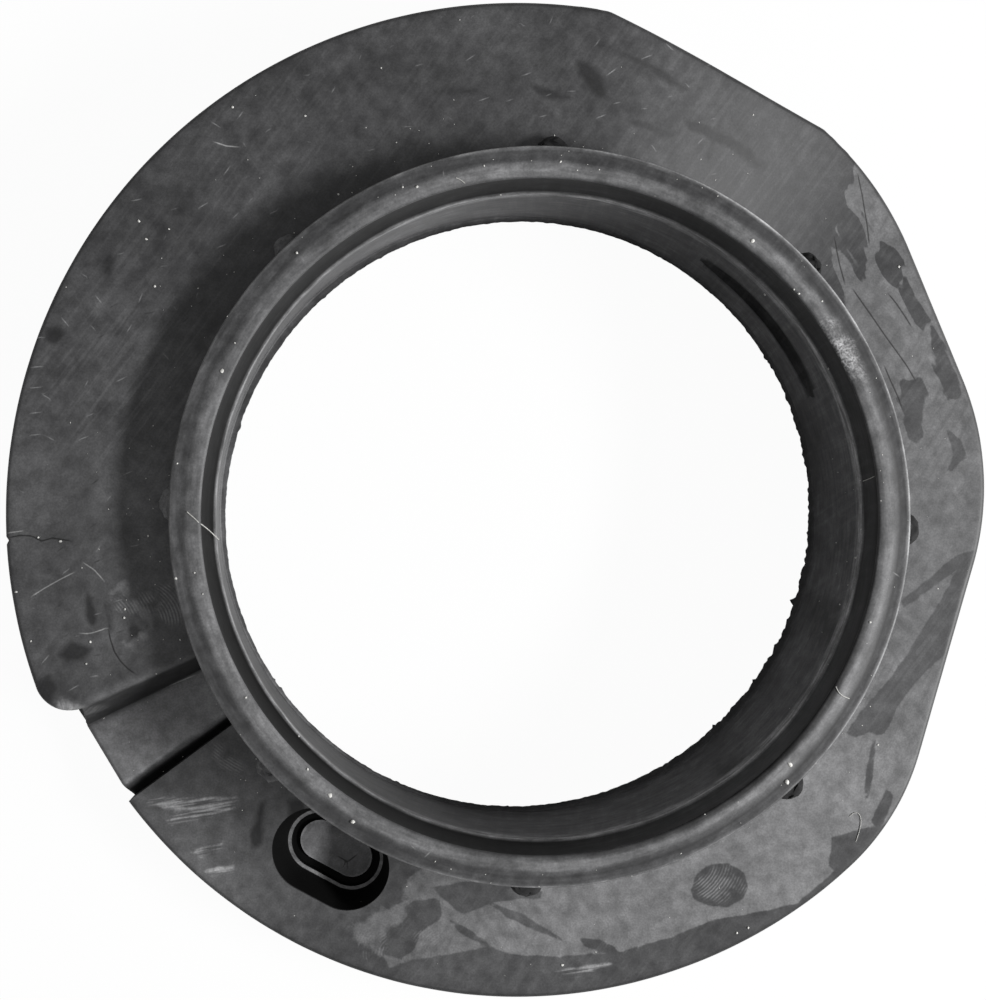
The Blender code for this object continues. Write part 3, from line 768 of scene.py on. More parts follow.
film = inside_border(FILM_BORDER)
for border in WIPED.values():
    film = np.minimum(film, -inside_border(border))
keep_on_body("film_edge", np.where(ON_SEAT, film, -FAR))
# How thick the film is, and how far its border is drawn out, round the ring
film_weight = np.interp(ANGLE, (0, 30, 60, 250, 275, 300, 322, 340, 360),
                        (0.42, 0.85, 0.55, 0.7, 0.85, 0.95, 0.88, 0.5, 0.42))
keep_on_body("film_weight", film_weight)
film_drawn = np.interp(ANGLE, (0, 15, 30, 60, 75, 350, 360), (0.6, 3.0, 4.5, 4.0, 0, 0, 0.6))
keep_on_body("film_drawn", film_drawn)
print("film covers", round(100 * float(np.mean(film[ON_SEAT] > 0))), "percent of the seat's points")

# %% [markdown]
# ## Smears and scuffs
# Away from the film the rubber has pale smears, where dust stuck to sweat, brushed strokes, and dark scuffs,
# where something rubbed the bloom off. Each kind keeps one distance, to the nearest of its borders.

# %% Smears and scuffs
SMEARS = {
    "print_by_the_stop": ((-61.9, -12.5), (-60.1, -10.7), (-58.4, -9.5), (-58, -11.1), (-56.6, -13.7),
                          (-54.8, -14.9), (-53.9, -16.7), (-55.1, -17.7), (-56.2, -18.9), (-57.8, -20.1),
                          (-59.5, -19.5), (-59.9, -18.3), (-58.4, -19.1), (-56.6, -18), (-55.7, -17.1),
                          (-57.1, -14.7), (-58.4, -12.6), (-59.9, -12.2)),
    "below_pocket": ((-26.6, -65.4), (-22.6, -63.8), (-19.9, -62.2), (-16.2, -62.3), (-17.3, -64.2),
                     (-19.4, -65.4), (-21, -66.6), (-22.1, -68.5), (-21.5, -70.6), (-23.7, -69.3),
                     (-26.2, -67.7)),
    "beside_pocket": ((-18.4, -59.5), (-16.7, -58.2), (-15.4, -59.5), (-16.4, -61.1), (-18.3, -61.7)),
    "stop_corner": ((-70.2, -30.2), (-67.2, -29.2), (-65.6, -30.6), (-66.5, -31.8), (-69, -33)),
}
BRUSHED = {
    "long_stroke": ((-59.5, -45.2), (-52, -45.2), (-44.2, -45), (-45.6, -46.2), (-44.2, -46.6),
                    (-46.1, -47.6), (-50.4, -48.3), (-55.1, -49.4), (-55.9, -48.6), (-52.4, -47.4),
                    (-58.6, -46.4)),
    "short_stroke": ((-52, -53.8), (-50, -52.9), (-46.6, -52.2), (-47.2, -53.6), (-50.4, -54.5)),
    "lower_stroke": ((-49.9, -57), (-47.5, -55.9), (-44.9, -55.9), (-45.4, -57.3), (-48.5, -57.6)),
    "low_edge": ((5.7, -72.9), (10.2, -71.9), (15.2, -71.5), (12.1, -72.9), (8, -73.7)),
}
SCUFFS = {
    "lobe_stroke": ((-64.7, -12), (-63.8, -12.6), (-63.1, -16.2), (-63.8, -17.1), (-64.7, -15.2)),
    "second_stroke": ((-61.9, -12.6), (-61.1, -13.7), (-60.7, -17.1), (-61.3, -17.7), (-61.7, -15.2)),
    "print_core": ((-58.4, -15.9), (-57.7, -15.6), (-56.9, -17.4), (-55.7, -17.9), (-56.6, -18.9),
                   (-58.3, -18.9)),
    "blotch": ((-68.6, -20.1), (-66.4, -19.2), (-63.8, -20.1), (-64.9, -21.9), (-67.7, -22.5),
               (-68.9, -21.3)),
    "ramp_long": ((10.7, 71.8), (13.2, 70.5), (17, 69.1), (20.8, 67.7), (23.5, 66.3), (26.3, 64.4),
                  (24.7, 64.3), (22.4, 65.7), (19.3, 67.3), (15.5, 69)),
    "ramp_short": ((16.7, 59.6), (20.1, 59), (22, 58.5), (24.8, 58), (22.3, 57.1), (20.1, 58.1),
                   (17.7, 58.6)),
    "ramp_tick": ((31.1, 61), (31.7, 60.6), (30.5, 58.1), (29.6, 54.7), (29, 54.3), (29.7, 57.3)),
    "ramp_broad": ((25.6, 60.3), (31.1, 58.9), (35.2, 57), (39, 54.1), (37.4, 53.4), (33.6, 56.1),
                   (28.8, 58), (26.1, 58.8)),
    "top_dash": ((1.7, 64.6), (5.7, 63.7), (8, 62.6), (6.5, 62.2), (3.5, 62.9)),
    "top_cluster": ((9, 68.2), (11, 67.9), (13.2, 65.2), (13.7, 62.3), (11.9, 62.5), (10.2, 64.4),
                    (9.2, 65.9)),
    "top_left_dash": ((-9, 64), (-5.6, 63.8), (-5.9, 63.2), (-8.9, 63.2)),
    "west_spot": ((-62.6, 37.8), (-61.4, 39.7), (-60.4, 38.4), (-60.8, 35.9), (-62, 35.1)),
    "stop_blur": ((-72.3, -25.2), (-70.4, -24.1), (-69.2, -26), (-70.1, -28.4), (-71.6, -28)),
    "low_rub": ((-36.6, -44.9), (-34, -45.5), (-33.2, -49), (-35, -51.6), (-36.2, -48)),
    "west_rub": ((-70.9, 27.9), (-68.6, 28.4), (-67.4, 26.9), (-68.9, 25.4), (-70.7, 25.8)),
    "pocket_streak": ((-41, -46), (-39.9, -45.5), (-40.5, -52.6), (-42.1, -53.4), (-42.5, -51)),
}
FUNNEL_STAINS = (
    ((47.3, -12.8), (49.6, -13.6), (49.8, -18.2), (48.4, -21.9), (46.9, -20.4), (46.6, -16.1)),
    ((44, 17), (46.4, 17.6), (49.2, 11), (49.9, 3.5), (48.6, 2.9), (47, 9.5)),
    ((31, -39.3), (35.2, -36.8), (37.1, -36.9), (33.3, -41.5), (29.4, -43.3)),
)
STAIN_SOFTNESS = 0.35
for name, borders in (("smear_edge", SMEARS), ("scuff_edge", SCUFFS), ("brushed_edge", BRUSHED)):
    nearest = np.max([inside_border(border) for border in borders.values()], axis=0)
    nearest = np.where(ON_SEAT, nearest, -FAR)
    if name == "scuff_edge":
        stains = np.max([inside_border(border) for border in FUNNEL_STAINS], axis=0)
        nearest = np.where(IN_FUNNEL, STAIN_SOFTNESS * stains - 0.05, nearest)
    keep_on_body(name, nearest)
    print(name, "has", len(borders), "marks")

# %% [markdown]
# ## Fingerprints
# Ridges of a fingertip are about half a millimetre apart, which is close to the mesh's own spacing. Drawn as
# light and dark points they would flicker. A phase, the distance from the middle of the print's curl, is
# smooth, so each point keeps the phase and the material makes the ridges from it with a sine.

# %% Fingerprints
RIDGE_SPACING = 0.48
# (centre, half length, half width, turn, place of the curl from the centre)
PRINTS = (
    ((32.2, -58.9), 4.7, 3.5, 10, (-7.8, 4.5)),
    ((16.7, -65.0), 5.2, 4.6, -20, (-6.5, -1.5)),
    ((22.8, -60.4), 4.9, 3.2, -12, (-7.0, 9.0)),
    ((-23.3, -68.2), 2.9, 2.8, 60, (5.0, -2.0)),
    ((-14.8, -68.3), 2.6, 2.4, 60, (5.0, -2.5)),
    ((-46.9, -38.7), 4.8, 1.9, -43, (15.0, 15.5)),
    ((-57.2, -13.4), 4.8, 2.5, -10, (-8.0, -4.0)),
    ((-52.4, -13.6), 2.4, 3.4, 20, (-6.0, -3.0)),
)

print_edge, ridge_phase = np.full(len(X), -FAR), np.zeros(len(X))
for (cx, cy), length, width, turn, (curl_x, curl_y) in PRINTS:
    along = (X - cx) * cos(radians(turn)) + (Y - cy) * sin(radians(turn))
    across = (Y - cy) * cos(radians(turn)) - (X - cx) * sin(radians(turn))
    inside = (1 - np.hypot(along / length, across / width)) * width
    here = inside > print_edge
    print_edge = np.where(here, inside, print_edge)
    ridge_phase = np.where(here, np.hypot(X - cx - curl_x, (Y - cy - curl_y) * 1.15), ridge_phase)
keep_on_body("print_edge", np.where(ON_SEAT, print_edge, -FAR))
keep_on_body("ridge_phase", ridge_phase * 2 * pi / RIDGE_SPACING)
print("prints:", len(PRINTS), "with ridges", RIDGE_SPACING, "mm apart")

# %% [markdown]
# ## Creases and scratches
# A crease is a dark line a few tenths of a millimetre wide, where folded rubber or a torn film casts its own
# shade, and a scratch is a pale one. Each point keeps how far it lies across and along the nearest line.

# %% Creases and scratches
CREASES = (
    ((-61.4, -17.3), (-61.1, -18.9), (-60.5, -20.7), (-59.6, -22.1), (-58.4, -23.3), (-57.1, -24.2)),
    ((-76.7, -3.6), (-74.6, -3.2), (-72.8, -3.3), (-71.6, -4.1), (-69.8, -3.6), (-66.7, -4.1)),
    ((53, 35.7), (54.6, 33.4), (56.5, 30.7), (58.2, 28.2), (60.1, 25.6), (61.8, 23.2), (63.1, 20.9)),
    ((58.5, 35.1), (59.9, 33.4), (61.4, 31.2), (62.5, 29.4)),
    ((58, 23.6), (59, 21.2), (60.1, 18.8), (61, 16.4)),
    ((53.5, 53.8), (54.4, 50.3), (55.3, 45.7), (55.7, 42.5)),
    ((50, 43.9), (50.9, 39.8), (51.9, 36.2)),
    ((-27.8, -57.1), (-27.9, -58.5)),
    ((-26, -55.7), (-27.8, -57.1), (-29.7, -56)),
)
SCRATCHES = (
    ((-73.1, -12.5), (-70.9, -11.1), (-68.6, -9.8), (-66.4, -8.7)),
    ((-65.9, -17.9), (-64.4, -18), (-62.9, -17.6), (-61.4, -17)),
    ((-65.3, -7.2), (-63.5, -8.4), (-61.9, -10.2)),
    ((-76.9, -2.9), (-74, -2.5)),
    ((-15.5, -48.4), (-14.8, -49.1)),
    ((-13.5, -50.2), (-12.6, -49.3)),
    ((55, -8.5), (56, -9.2)),
    ((-16.7, 48.4), (-16.7, 47.4)),
    ((-10.8, 50.3), (-10.7, 49.3)),
    ((-67.5, -32.6), (-63, -30.6), (-58.5, -28.7)),
    ((-57.5, -28.2), (-51.3, -25.7)),
    ((-45.7, 56), (-43.8, 55.3), (-41.6, 55.1)),
)
# Fine ticks lie scattered over the lobe and the ramp, each well away from the others, with a few short rubs
# along the lobe's outer edge. The fan beside the panel's notch is kept as one of the prints.
TICK_GAP = 3.2
chooser = Random(7)


def strewn_ticks(count, angles, reaches, turns, longest):
    """Short straight lines by chance, none of them starting close to another."""
    starts, lines = [], []
    while len(lines) < count:
        start = direction(chooser.uniform(*angles)) * chooser.uniform(*reaches)
        run = direction(chooser.choice(turns) + chooser.uniform(-14, 14)) * chooser.uniform(0.3, longest)
        if all((start - other).length > TICK_GAP for other in starts):
            starts.append(start)
            lines.append((tuple(start), tuple(start + run)))
    return lines


EDGE_RUB_HEIGHTS = (11.8, 15.1, 18.9, 22.0, 26.4, 30.2)
EDGE_RUBS = [((-73.6 + 0.02 * y, y), (-71.9 + 0.04 * y, y + 0.2)) for y in EDGE_RUB_HEIGHTS]
TICKS = strewn_ticks(95, (60, 203), (58, 75.5), (12, 25, 55, -40), 2.0) + EDGE_RUBS
DARK_TICKS = strewn_ticks(34, (140, 200), (57, 71), (20, 40), 1.8)
LINES = {"crease": CREASES, "scratch": SCRATCHES, "tick": TICKS, "dark_tick": DARK_TICKS}
# Lines are drawn on the seat, the crest and the pocket's floor, and not down the walls
TAKES_LINES = FACES_UP & (ON_SEAT | (Z > 25.8) | (Z < 1.3))
for name, lines in LINES.items():
    across, along = nearest_line(lines)
    keep_on_body(name + "_across", np.where(TAKES_LINES, across, FAR))
    keep_on_body(name + "_along", along)
    print(name, "lines:", len(lines))

# %% [markdown]
# ## Painted shade in corners and painted highlights on edges
# The collar's inner wall, the pocket's groove and walls, the notch beside the panel, the stop wall, the torn
# flash, the slot and some rib tops get painted shade, nearly black. The crest, the rim, the lip, the pocket's
# ledge and some rib tops get painted highlights.

# %% Painted shade in recesses
# All heights and distances here are in millimetres, and the shares say how much painted shade a place gets
low_seat = LOW_SEAT_HEIGHT / MM
lobe = LOBE_HEIGHT / MM
funnel_top = FUNNEL_TOP_HEIGHT / MM
rim_height = RIM_HEIGHT / MM

pocket_x, pocket_y = (pocket_place - BORE_AXIS) / MM
turn = radians(POCKET_ANGLE + 90)
pocket_along = (X - pocket_x) * cos(turn) + (Y - pocket_y) * sin(turn)
pocket_across = (Y - pocket_y) * cos(turn) - (X - pocket_x) * sin(turn)
past_straight = np.maximum(0, np.abs(pocket_along) - POCKET_STRAIGHT / 2 / MM)
from_pocket = np.hypot(pocket_across, past_straight)
# The pocket's walls end 7 from its middle line, its pad ends at 3.3, and its ledge lies from 4.6 to 5.2
in_pocket = (from_pocket < 7.0) & (Z < low_seat - 0.3) & (Z > 0.1)
pad = (from_pocket < 3.3) & (Z > 1.0)
ledge = (from_pocket > 4.6) & (from_pocket < 5.2) & (Z < 1.9) & (Z > 1.7)
# Painted shade fills the pocket, all but its pad and its ledge
pocket_black = np.where(in_pocket & ~pad & ~ledge, 1.0, 0.0)

# Painted shade darkens the collar's inner wall, least at the right
on_inner_wall = FROM_COLLAR < 50.3
wall_span = rise(Z, funnel_top + 0.1, funnel_top + 0.6) * fall(Z, rim_height - 1.2, rim_height - 0.1)
inner_wall = around(0.4, 0.5, 0.8, 0.8, 0.95, 1, 0.9, 0.3) * wall_span * on_inner_wall
# A line of painted shade stands at the wall's top, right below the crest
top_span = rise(Z, rim_height - 4.0, rim_height - 2.0) * fall(Z, rim_height - 0.9, rim_height - 0.1)
wall_line = around(0.8, 0.4, 0.5, 0.2, 0.2, 0.4, 0.6, 0.5) * top_span * on_inner_wall
# Painted shade in the panel's notch, on the stop wall, on the flash's tip, on some rib tops and in the slot
beside_collar = FROM_COLLAR > 53
past_notch = (ANGLE > notch_start - 0.3) & (ANGLE < PANEL_END_ANGLE + 0.05) & beside_collar
notch_black = 0.85 * fall(Z, 5.2, 6.5) * past_notch
stop_face = (ANGLE > STOP_ANGLE - 0.9) & (ANGLE < STOP_FOOT_ANGLE + 0.1) & beside_collar
stop_dark = 0.75 * fall(Z, lobe - 1.8, lobe - 0.4) * rise(Z, 6.9, 7.6) * stop_face
fin_shade = around(0.3, 0.3, 0.8, 0.4, 0, 0.3, 0.3, 0.2) * fall(Z, 0.2, 0.5) * (FROM_BORE < 48.6)
on_ribs = (FROM_COLLAR > 54.35) & (FROM_COLLAR < 57.5) & (Z > lobe + 0.3)
rib_top_shade = around(0.8, 0.9, 0.7, 0, 0, 0.1, 0.7, 0.8) * on_ribs
slot_x, slot_y = (slot_place - BORE_AXIS) / MM
slot_circle = (reach - slot_offset - SLOT_HALF_WIDTH) / MM
from_slot = np.hypot(np.hypot(X - slot_x, Y - slot_y) - slot_circle, Z - SLOT_HEIGHT / MM)
in_slot = 0.7 * (from_slot < SLOT_HALF_WIDTH / MM + 0.03) * (FROM_BORE > 49.3) * (FROM_COLLAR < 52)
# At the lower right the crest's inner slope is turned from the light and stays black
on_crest_back = fall(FROM_COLLAR, 50.2, 50.9) * (FROM_COLLAR > 49.5) * (Z > rim_height - 0.2)
crest_back = around(0.1, 0, 0, 0, 0, 0, 0.35, 0.85) * on_crest_back
keep_on_body("recess", np.max([pocket_black, inner_wall, wall_line, notch_black, stop_dark, fin_shade,
                               rib_top_shade, in_slot, crest_back], axis=0))
print("points on the pocket's pad:", int(pad.sum()))

# %% Painted highlights on the crest and edges
# A painted highlight runs along the crest, its strength set round the ring
on_crest = rise(Z, rim_height + 0.08, rim_height + 0.33)
keep_on_body("crest_highlight", on_crest * around(1.0, 0.9, 1.15, 0.7, 0.65, 0.8, 0.85, 1.1))
# Painted highlights: the rim's line, brightest at the upper right, the lip, the pocket's ledge and pad rings,
# and the rib tops at the left
on_rim = rise(FROM_COLLAR, 53.9, 54.15) * rise(Z, rim_height - 0.5, rim_height - 0.15) * (FROM_COLLAR < 54.6)
rim = on_rim * around(0.7, 0.95, 0.6, 0.4, 0.35, 0.15, 0.4, 0.2)
lip = rise(Z, funnel_top - 0.3, funnel_top - 0.05) * fall(Z, 17.8, 18.0) * (FROM_COLLAR < 49.5)
pocket_rings = 0.8 * ledge + 0.25 * (pad & (from_pocket > 3.15))
pale_ribs = 0.28 * on_ribs * around(0, 0, 0, 1, 1, 0.5, 0, 0)
# A painted highlight, a glare, lies on the lobe's outer corner beside the stop
GLARE = ((-69, -27.6), (-67.5, -28), (-65, -28.9), (-63.4, -29.5), (-64.2, -31.4), (-66.9, -31.2),
         (-69.2, -29.6))
glare = 0.9 * rise(inside_border(GLARE), -0.4, 0.8) * (Z > 12)
keep_on_body("edge_highlights", np.max([rim, lip, pocket_rings, pale_ribs, glare], axis=0))
# A pale scuff lies on the crest at the upper right, longest towards 120 degrees
SCUFF_PLACE = (47.9, 23.6)
SCUFF_HALF_WIDTH, SCUFF_HALF_LENGTH = 2.0, 6.5
scuff_x, scuff_y = X - SCUFF_PLACE[0], Y - SCUFF_PLACE[1]
scuff_along, scuff_across = scuff_y * 0.87 - scuff_x * 0.5, scuff_x * 0.87 + scuff_y * 0.5
crest_scuff = 1 - np.hypot(scuff_across / SCUFF_HALF_WIDTH, scuff_along / SCUFF_HALF_LENGTH)
keep_on_body("crest_scuff", np.where(Z > rim_height - 0.3, 2.0 * crest_scuff, -FAR))
# Counts points of the painted crest and rim highlights
print("worn points:", int((on_crest > 0.5).sum()), "on the crest,", int((rim > 0.5).sum()), "on the rim")

# %% [markdown]
# ## Light and dark round the ring
# Some sides of the ring are painted darker or lighter than others: painted shade where a face turns from
# the light, painted light where the panel and the funnel lie in shade, a bloom thicker in places, and wiped
# streaks. Each of these is kept as a share by angle, and the share says how strong its layer of colour is on
# that side.

# %% Light and dark round the ring
# The flange's outer edge is round and turned away from the light
outer_edge = np.interp(ANGLE, WHOLE_ANGLES, [outline_radius(angle) / MM for angle in WHOLE_ANGLES])
edge_shade = rise(FROM_BORE - outer_edge, -1.0, -0.45) * rise(Z, 2.0, 5.0)
edge_shade = edge_shade * around(0.75, 0.75, 0.6, 0.35, 0.3, 0.5, 0.7, 0.9)
keep_on_body("edge_shade", np.where((ANGLE > 199) & (ANGLE < 206), 0.3 * edge_shade, edge_shade))
# A line of painted shade runs round the collar's shoulder, strongest at the right
shoulder_line = around(0.9, 0.3, 0.1, 0, 0, 0.2, 0.3, 0.9) * fall(np.abs(FROM_COLLAR - 52.75), 0.05, 0.4)
keep_on_body("shoulder_line", shoulder_line * (Z > rim_height - 0.2))
# Painted shade darkens the collar's shoulder at the lower left
on_shoulder = rise(FROM_COLLAR, 51.2, 52.6) * fall(FROM_COLLAR, 53.9, 54.3) * (Z > rim_height - 0.3)
shoulder_shade = np.interp(ANGLE, (0, 150, 190, 205, 245, 265, 300, 360), (0, 0, 0.15, 0.6, 0.65, 0.1, 0, 0))
keep_on_body("shoulder_shade", on_shoulder * shoulder_shade)
# Painted shade darkens the funnel, most at the lower left
funnel_shade = np.interp(ANGLE, (0, 45, 90, 118, 182, 192, 215, 240, 270, 300, 360),
                         (0.05, 0, 0.1, 0.05, 0.02, 0.3, 0.75, 0.65, 0.2, 0.0, 0.05))
keep_on_body("funnel_shade", np.where(IN_FUNNEL, funnel_shade, 0))
# The bloom is real; round the panel it is painted much thicker, as painted light that lifts the panel out of
# the collar's shadow
BLOOM_AND_LIGHT_ANGLES = (0, 50, 62, 90, 105, 135, 150, 180, 203, 207, 217, 240, 265, 300, 330, 360)
BLOOM_AND_LIGHT_SHARES = (0.2, 0.16, 0.2, 0.4, 0.36, 0.3, 0.36, 0.74, 0.65, 1.6, 1.2, 0.65, 0.38, 0.33, 0.25, 0.2)
keep_on_body("bloom_and_painted_light", np.interp(ANGLE, BLOOM_AND_LIGHT_ANGLES, BLOOM_AND_LIGHT_SHARES))
# The lobe's left side was wiped most
keep_on_body("streaky", 0.35 + 0.9 * np.exp(-(((X + 59) / 11) ** 2 + ((Y - 19) / 13) ** 2)))
# Painted light lifts the panel, the pocket's pad and the funnel's right side, which lie in shade
on_panel = rise(ANGLE, STOP_FOOT_ANGLE, STOP_FOOT_ANGLE + 0.6) * (ANGLE < PANEL_END_ANGLE) * ON_SEAT
funnel_fill = around(0.45, 0.4, 0.1, 0, 0, 0, 0.2, 0.35) * IN_FUNNEL
keep_on_body("painted_fill_light", np.max([0.85 * on_panel, 0.75 * pad, funnel_fill], axis=0))
# Where the lines of the mould's turning show, and how far along the section each point lies
keep_on_body("on_collar", fall(FROM_COLLAR, 54.2, 54.6))
keep_on_body("section_run", (FROM_COLLAR + Z) * 1.3)
print("numbers kept for each point:", len(kept_names))

# %% [markdown]
# ## Rubber
# Vulcanised rubber filled with carbon black. Its body gives back little more than one percent of the light,
# and most of what the eye sees is gloss, spread wide because the mould's face is finely blasted. Bloom, the
# waxes that come out of the rubber, veils it with a thin grey. Film, smears and scratches lie over that, with
# painted light, painted highlights and painted shade, and the grain and the marks also change the gloss and
# the bump.

# %% Material tools


def colour(code):
    """An sRGB hex colour as linear values with alpha."""
    values = [int(code[index:index + 2], 16) / 255 for index in (1, 3, 5)]
    linear = [value / 12.92 if value <= 0.04045 else ((value + 0.055) / 1.055) ** 2.4 for value in values]
    return (*linear, 1.0)


def add_node(tree, kind, inputs=None, output=0, **settings):
    """Adds a node, sets its properties, sets or links its inputs, and gives one of its outputs."""
    node = tree.nodes.new(kind)
    for name, value in settings.items():
        setattr(node, name, value)
    for socket, value in (inputs or {}).items():
        if isinstance(value, bpy.types.NodeSocket):
            tree.links.new(value, node.inputs[socket])
        else:
            node.inputs[socket].default_value = value
    return node.outputs[output]


def new_material(name):
    material = bpy.data.materials.new(name)
    material.use_nodes = True
    return material, material.node_tree, material.node_tree.nodes["Principled BSDF"]


# %% Grain, bloom and streaks
# Scales are in repeats per metre: a repeat is 0.3 mm for the moulded grain, 2 mm for the mottle, 4 mm for
# the blotches and 20 mm for the bloom's clouds. The real grain is about 0.1 mm, and is drawn coarser so
# that it shows.
rubber, tree, shader = new_material("moulded_rubber")
place = add_node(tree, "ShaderNodeTexCoord", output="Object")
# What the layers below are made of, by name
field = {}
# (name, repeats per metre, detail, roughness)
PATTERNS = (("grain", 3300.0, 3.0, 0.5), ("mottle", 500.0, 5.0, 0.5), ("clouds", 50.0, 5.0, 0.5),
            ("blotches", 230.0, 9.0, 0.72))
for name, scale, detail, roughness in PATTERNS:
    settings = {"Vector": place, "Scale": scale, "Detail": detail, "Roughness": roughness}
    field[name] = add_node(tree, "ShaderNodeTexNoise", settings)
# How the ring was wiped: (name, direction, length and width of a streak in millimetres, detail)
WIPES = (("lobe_wipe", 53, 16.0, 0.7, 4.0), ("film_wipe", -57, 11.0, 1.2, 4.0),
         ("cross_wipe", 60, 13.0, 1.0, 4.0), ("brush", 9, 7.0, 0.45, 4.0),
         ("drawn_out", -57, 15.0, 1.7, 1.0))
for name, turn, length, width, detail in WIPES:
    settings = {"Vector": place, "Rotation": (0, 0, radians(turn)),
                "Scale": (length * MM, width * MM, length * MM)}
    way = add_node(tree, "ShaderNodeMapping", settings, vector_type="TEXTURE")
    field[name] = add_node(tree, "ShaderNodeTexNoise", {"Vector": way, "Scale": 1.0, "Detail": detail})
for name in kept_names:
    field[name] = add_node(tree, "ShaderNodeAttribute", output="Fac", attribute_name=name)
# Lines that run round the collar and the funnel, as the mould's turning left them: they change fast along
# the section and slowly round the ring
ring_way = add_node(tree, "ShaderNodeMapping", {"Vector": place, "Scale": (170, 170, 0)})
ring_depth = add_node(tree, "ShaderNodeCombineXYZ", {"Z": field["section_run"]})
ring_place = add_node(tree, "ShaderNodeVectorMath", {0: ring_way, 1: ring_depth}, operation="ADD")
settings = {"Vector": ring_place, "Scale": 1.0, "Detail": 5.0, "Roughness": 0.6}
field["ring_lines"] = add_node(tree, "ShaderNodeTexNoise", settings)

# %% Masks for the marks
# At the upper right the film was wiped along, so its border is drawn out into streaks
drawn_out = add_node(tree, "ShaderNodeMath", {0: field["drawn_out"], 1: -0.5}, operation="ADD")
settings = {0: drawn_out, 1: field["film_drawn"], 2: field["film_edge"]}
field["film_edge"] = add_node(tree, "ShaderNodeMath", settings, operation="MULTIPLY_ADD")
# The mottle pushes borders about: (mask, its distance, push, where it starts and where it's full)
BORDERED = (
    ("film", "film_edge", 0.7, -0.15, 0.2),
    ("smear", "smear_edge", 2.2, -0.3, 0.7),
    ("scuff", "scuff_edge", 2.2, -0.5, 0.6),
    ("scuffed_crest", "crest_scuff", 2.4, -0.2, 2.4),
    ("brushed", "brushed_edge", 1.0, -0.3, 0.5),
    ("print", "print_edge", 2.6, 0.0, 1.2),
)
shift = add_node(tree, "ShaderNodeMath", {0: field["mottle"], 1: -0.5}, operation="ADD")
for name, distance, push, start, end in BORDERED:
    settings = {0: shift, 1: push, 2: field[distance]}
    pushed = add_node(tree, "ShaderNodeMath", settings, operation="MULTIPLY_ADD")
    settings = {"Value": pushed, "From Min": start, "From Max": end}
    field[name] = add_node(tree, "ShaderNodeMapRange", settings, interpolation_type="SMOOTHSTEP")
# A line is 1 along its middle, and 0 away from it and beyond its ends: (line, half width in millimetres)
for name, half_width in (("crease", 0.19), ("scratch", 0.14), ("tick", 0.13), ("dark_tick", 0.16)):
    off = add_node(tree, "ShaderNodeMath", {0: field[name + "_across"]}, operation="ABSOLUTE")
    beside = add_node(tree, "ShaderNodeMapRange", {"Value": off, "From Min": half_width, "From Max": 0.0})
    ahead = add_node(tree, "ShaderNodeMapRange", {"Value": field[name + "_along"], "From Min": -0.1,
                                                  "From Max": 0.9})
    field[name] = add_node(tree, "ShaderNodeMath", {0: beside, 1: ahead}, operation="MULTIPLY")
# The ridges of a print come from its phase, pushed about by the mottle
ridge_wave = add_node(tree, "ShaderNodeMath", {0: field["mottle"], 1: 5.0, 2: field["ridge_phase"]},
                      operation="MULTIPLY_ADD")
field["ridge_wave"] = add_node(tree, "ShaderNodeMath", {0: ridge_wave}, operation="SINE")
# Patterns as shares: (name, pattern, its value at the first share, at the second, the two shares)
SHARES = (
    ("ridges", "ridge_wave", -0.4, 0.8, 0.0, 1.0),
    ("pressed", "mottle", 0.35, 0.6, 0.0, 0.75),
    ("dusting", "grain", 0.38, 0.62, 0.0, 1.0),
    ("bristles", "brush", 0.42, 0.62, 0.0, 1.0),
    ("highlight_breakup", "ring_lines", 0.35, 0.6, 0.35, 1.0),
    ("lobe_streaks", "lobe_wipe", 0.49, 0.64, 0.0, 0.55),
    ("film_streaks", "film_wipe", 0.49, 0.64, 0.0, 0.8),
    ("cross_streaks", "cross_wipe", 0.49, 0.64, 0.0, 0.8),
    ("east_side", "film_weight", 0.95, 0.6, 0.0, 1.0),
    ("haze", "clouds", 0.3, 0.7, 0.65, 1.2),
)
for name, pattern, start, end, low, high in SHARES:
    field[name] = add_node(tree, "ShaderNodeMapRange", {"Value": field[pattern], "From Min": start,
                                                        "From Max": end, "To Min": low, "To Max": high})
field["film_rubs"] = add_node(tree, "ShaderNodeMath", {0: field["film_streaks"], 1: field["cross_streaks"]},
                              operation="MAXIMUM")
# Each of these is the product of two others: (name, first, second)
PRODUCTS = (
    ("film", "film", "film_weight"), ("scuffed_crest", "scuffed_crest", "dusting"),
    ("brushed", "brushed", "bristles"), ("print", "print", "ridges"), ("print", "pressed", "print"),
    ("crest", "crest_highlight", "clouds"), ("edges", "edge_highlights", "highlight_breakup"),
    ("lobe_streaks", "lobe_streaks", "streaky"), ("film_rubs", "film_rubs", "east_side"),
    ("film_rubs", "film_rubs", "film"), ("bloom_and_painted_light", "haze", "bloom_and_painted_light"),
)
for name, first, second in PRODUCTS:
    field[name] = add_node(tree, "ShaderNodeMath", {0: field[first], 1: field[second]}, operation="MULTIPLY")
print("masks and patterns:", len(field))

# %% Colour
tone = add_node(tree, "ShaderNodeValToRGB", {"Fac": field["mottle"]})
for element, position, code in zip(tone.node.color_ramp.elements, (0.3, 0.7), ("#28282a", "#343435")):
    element.position = position
    element.color = colour(code)
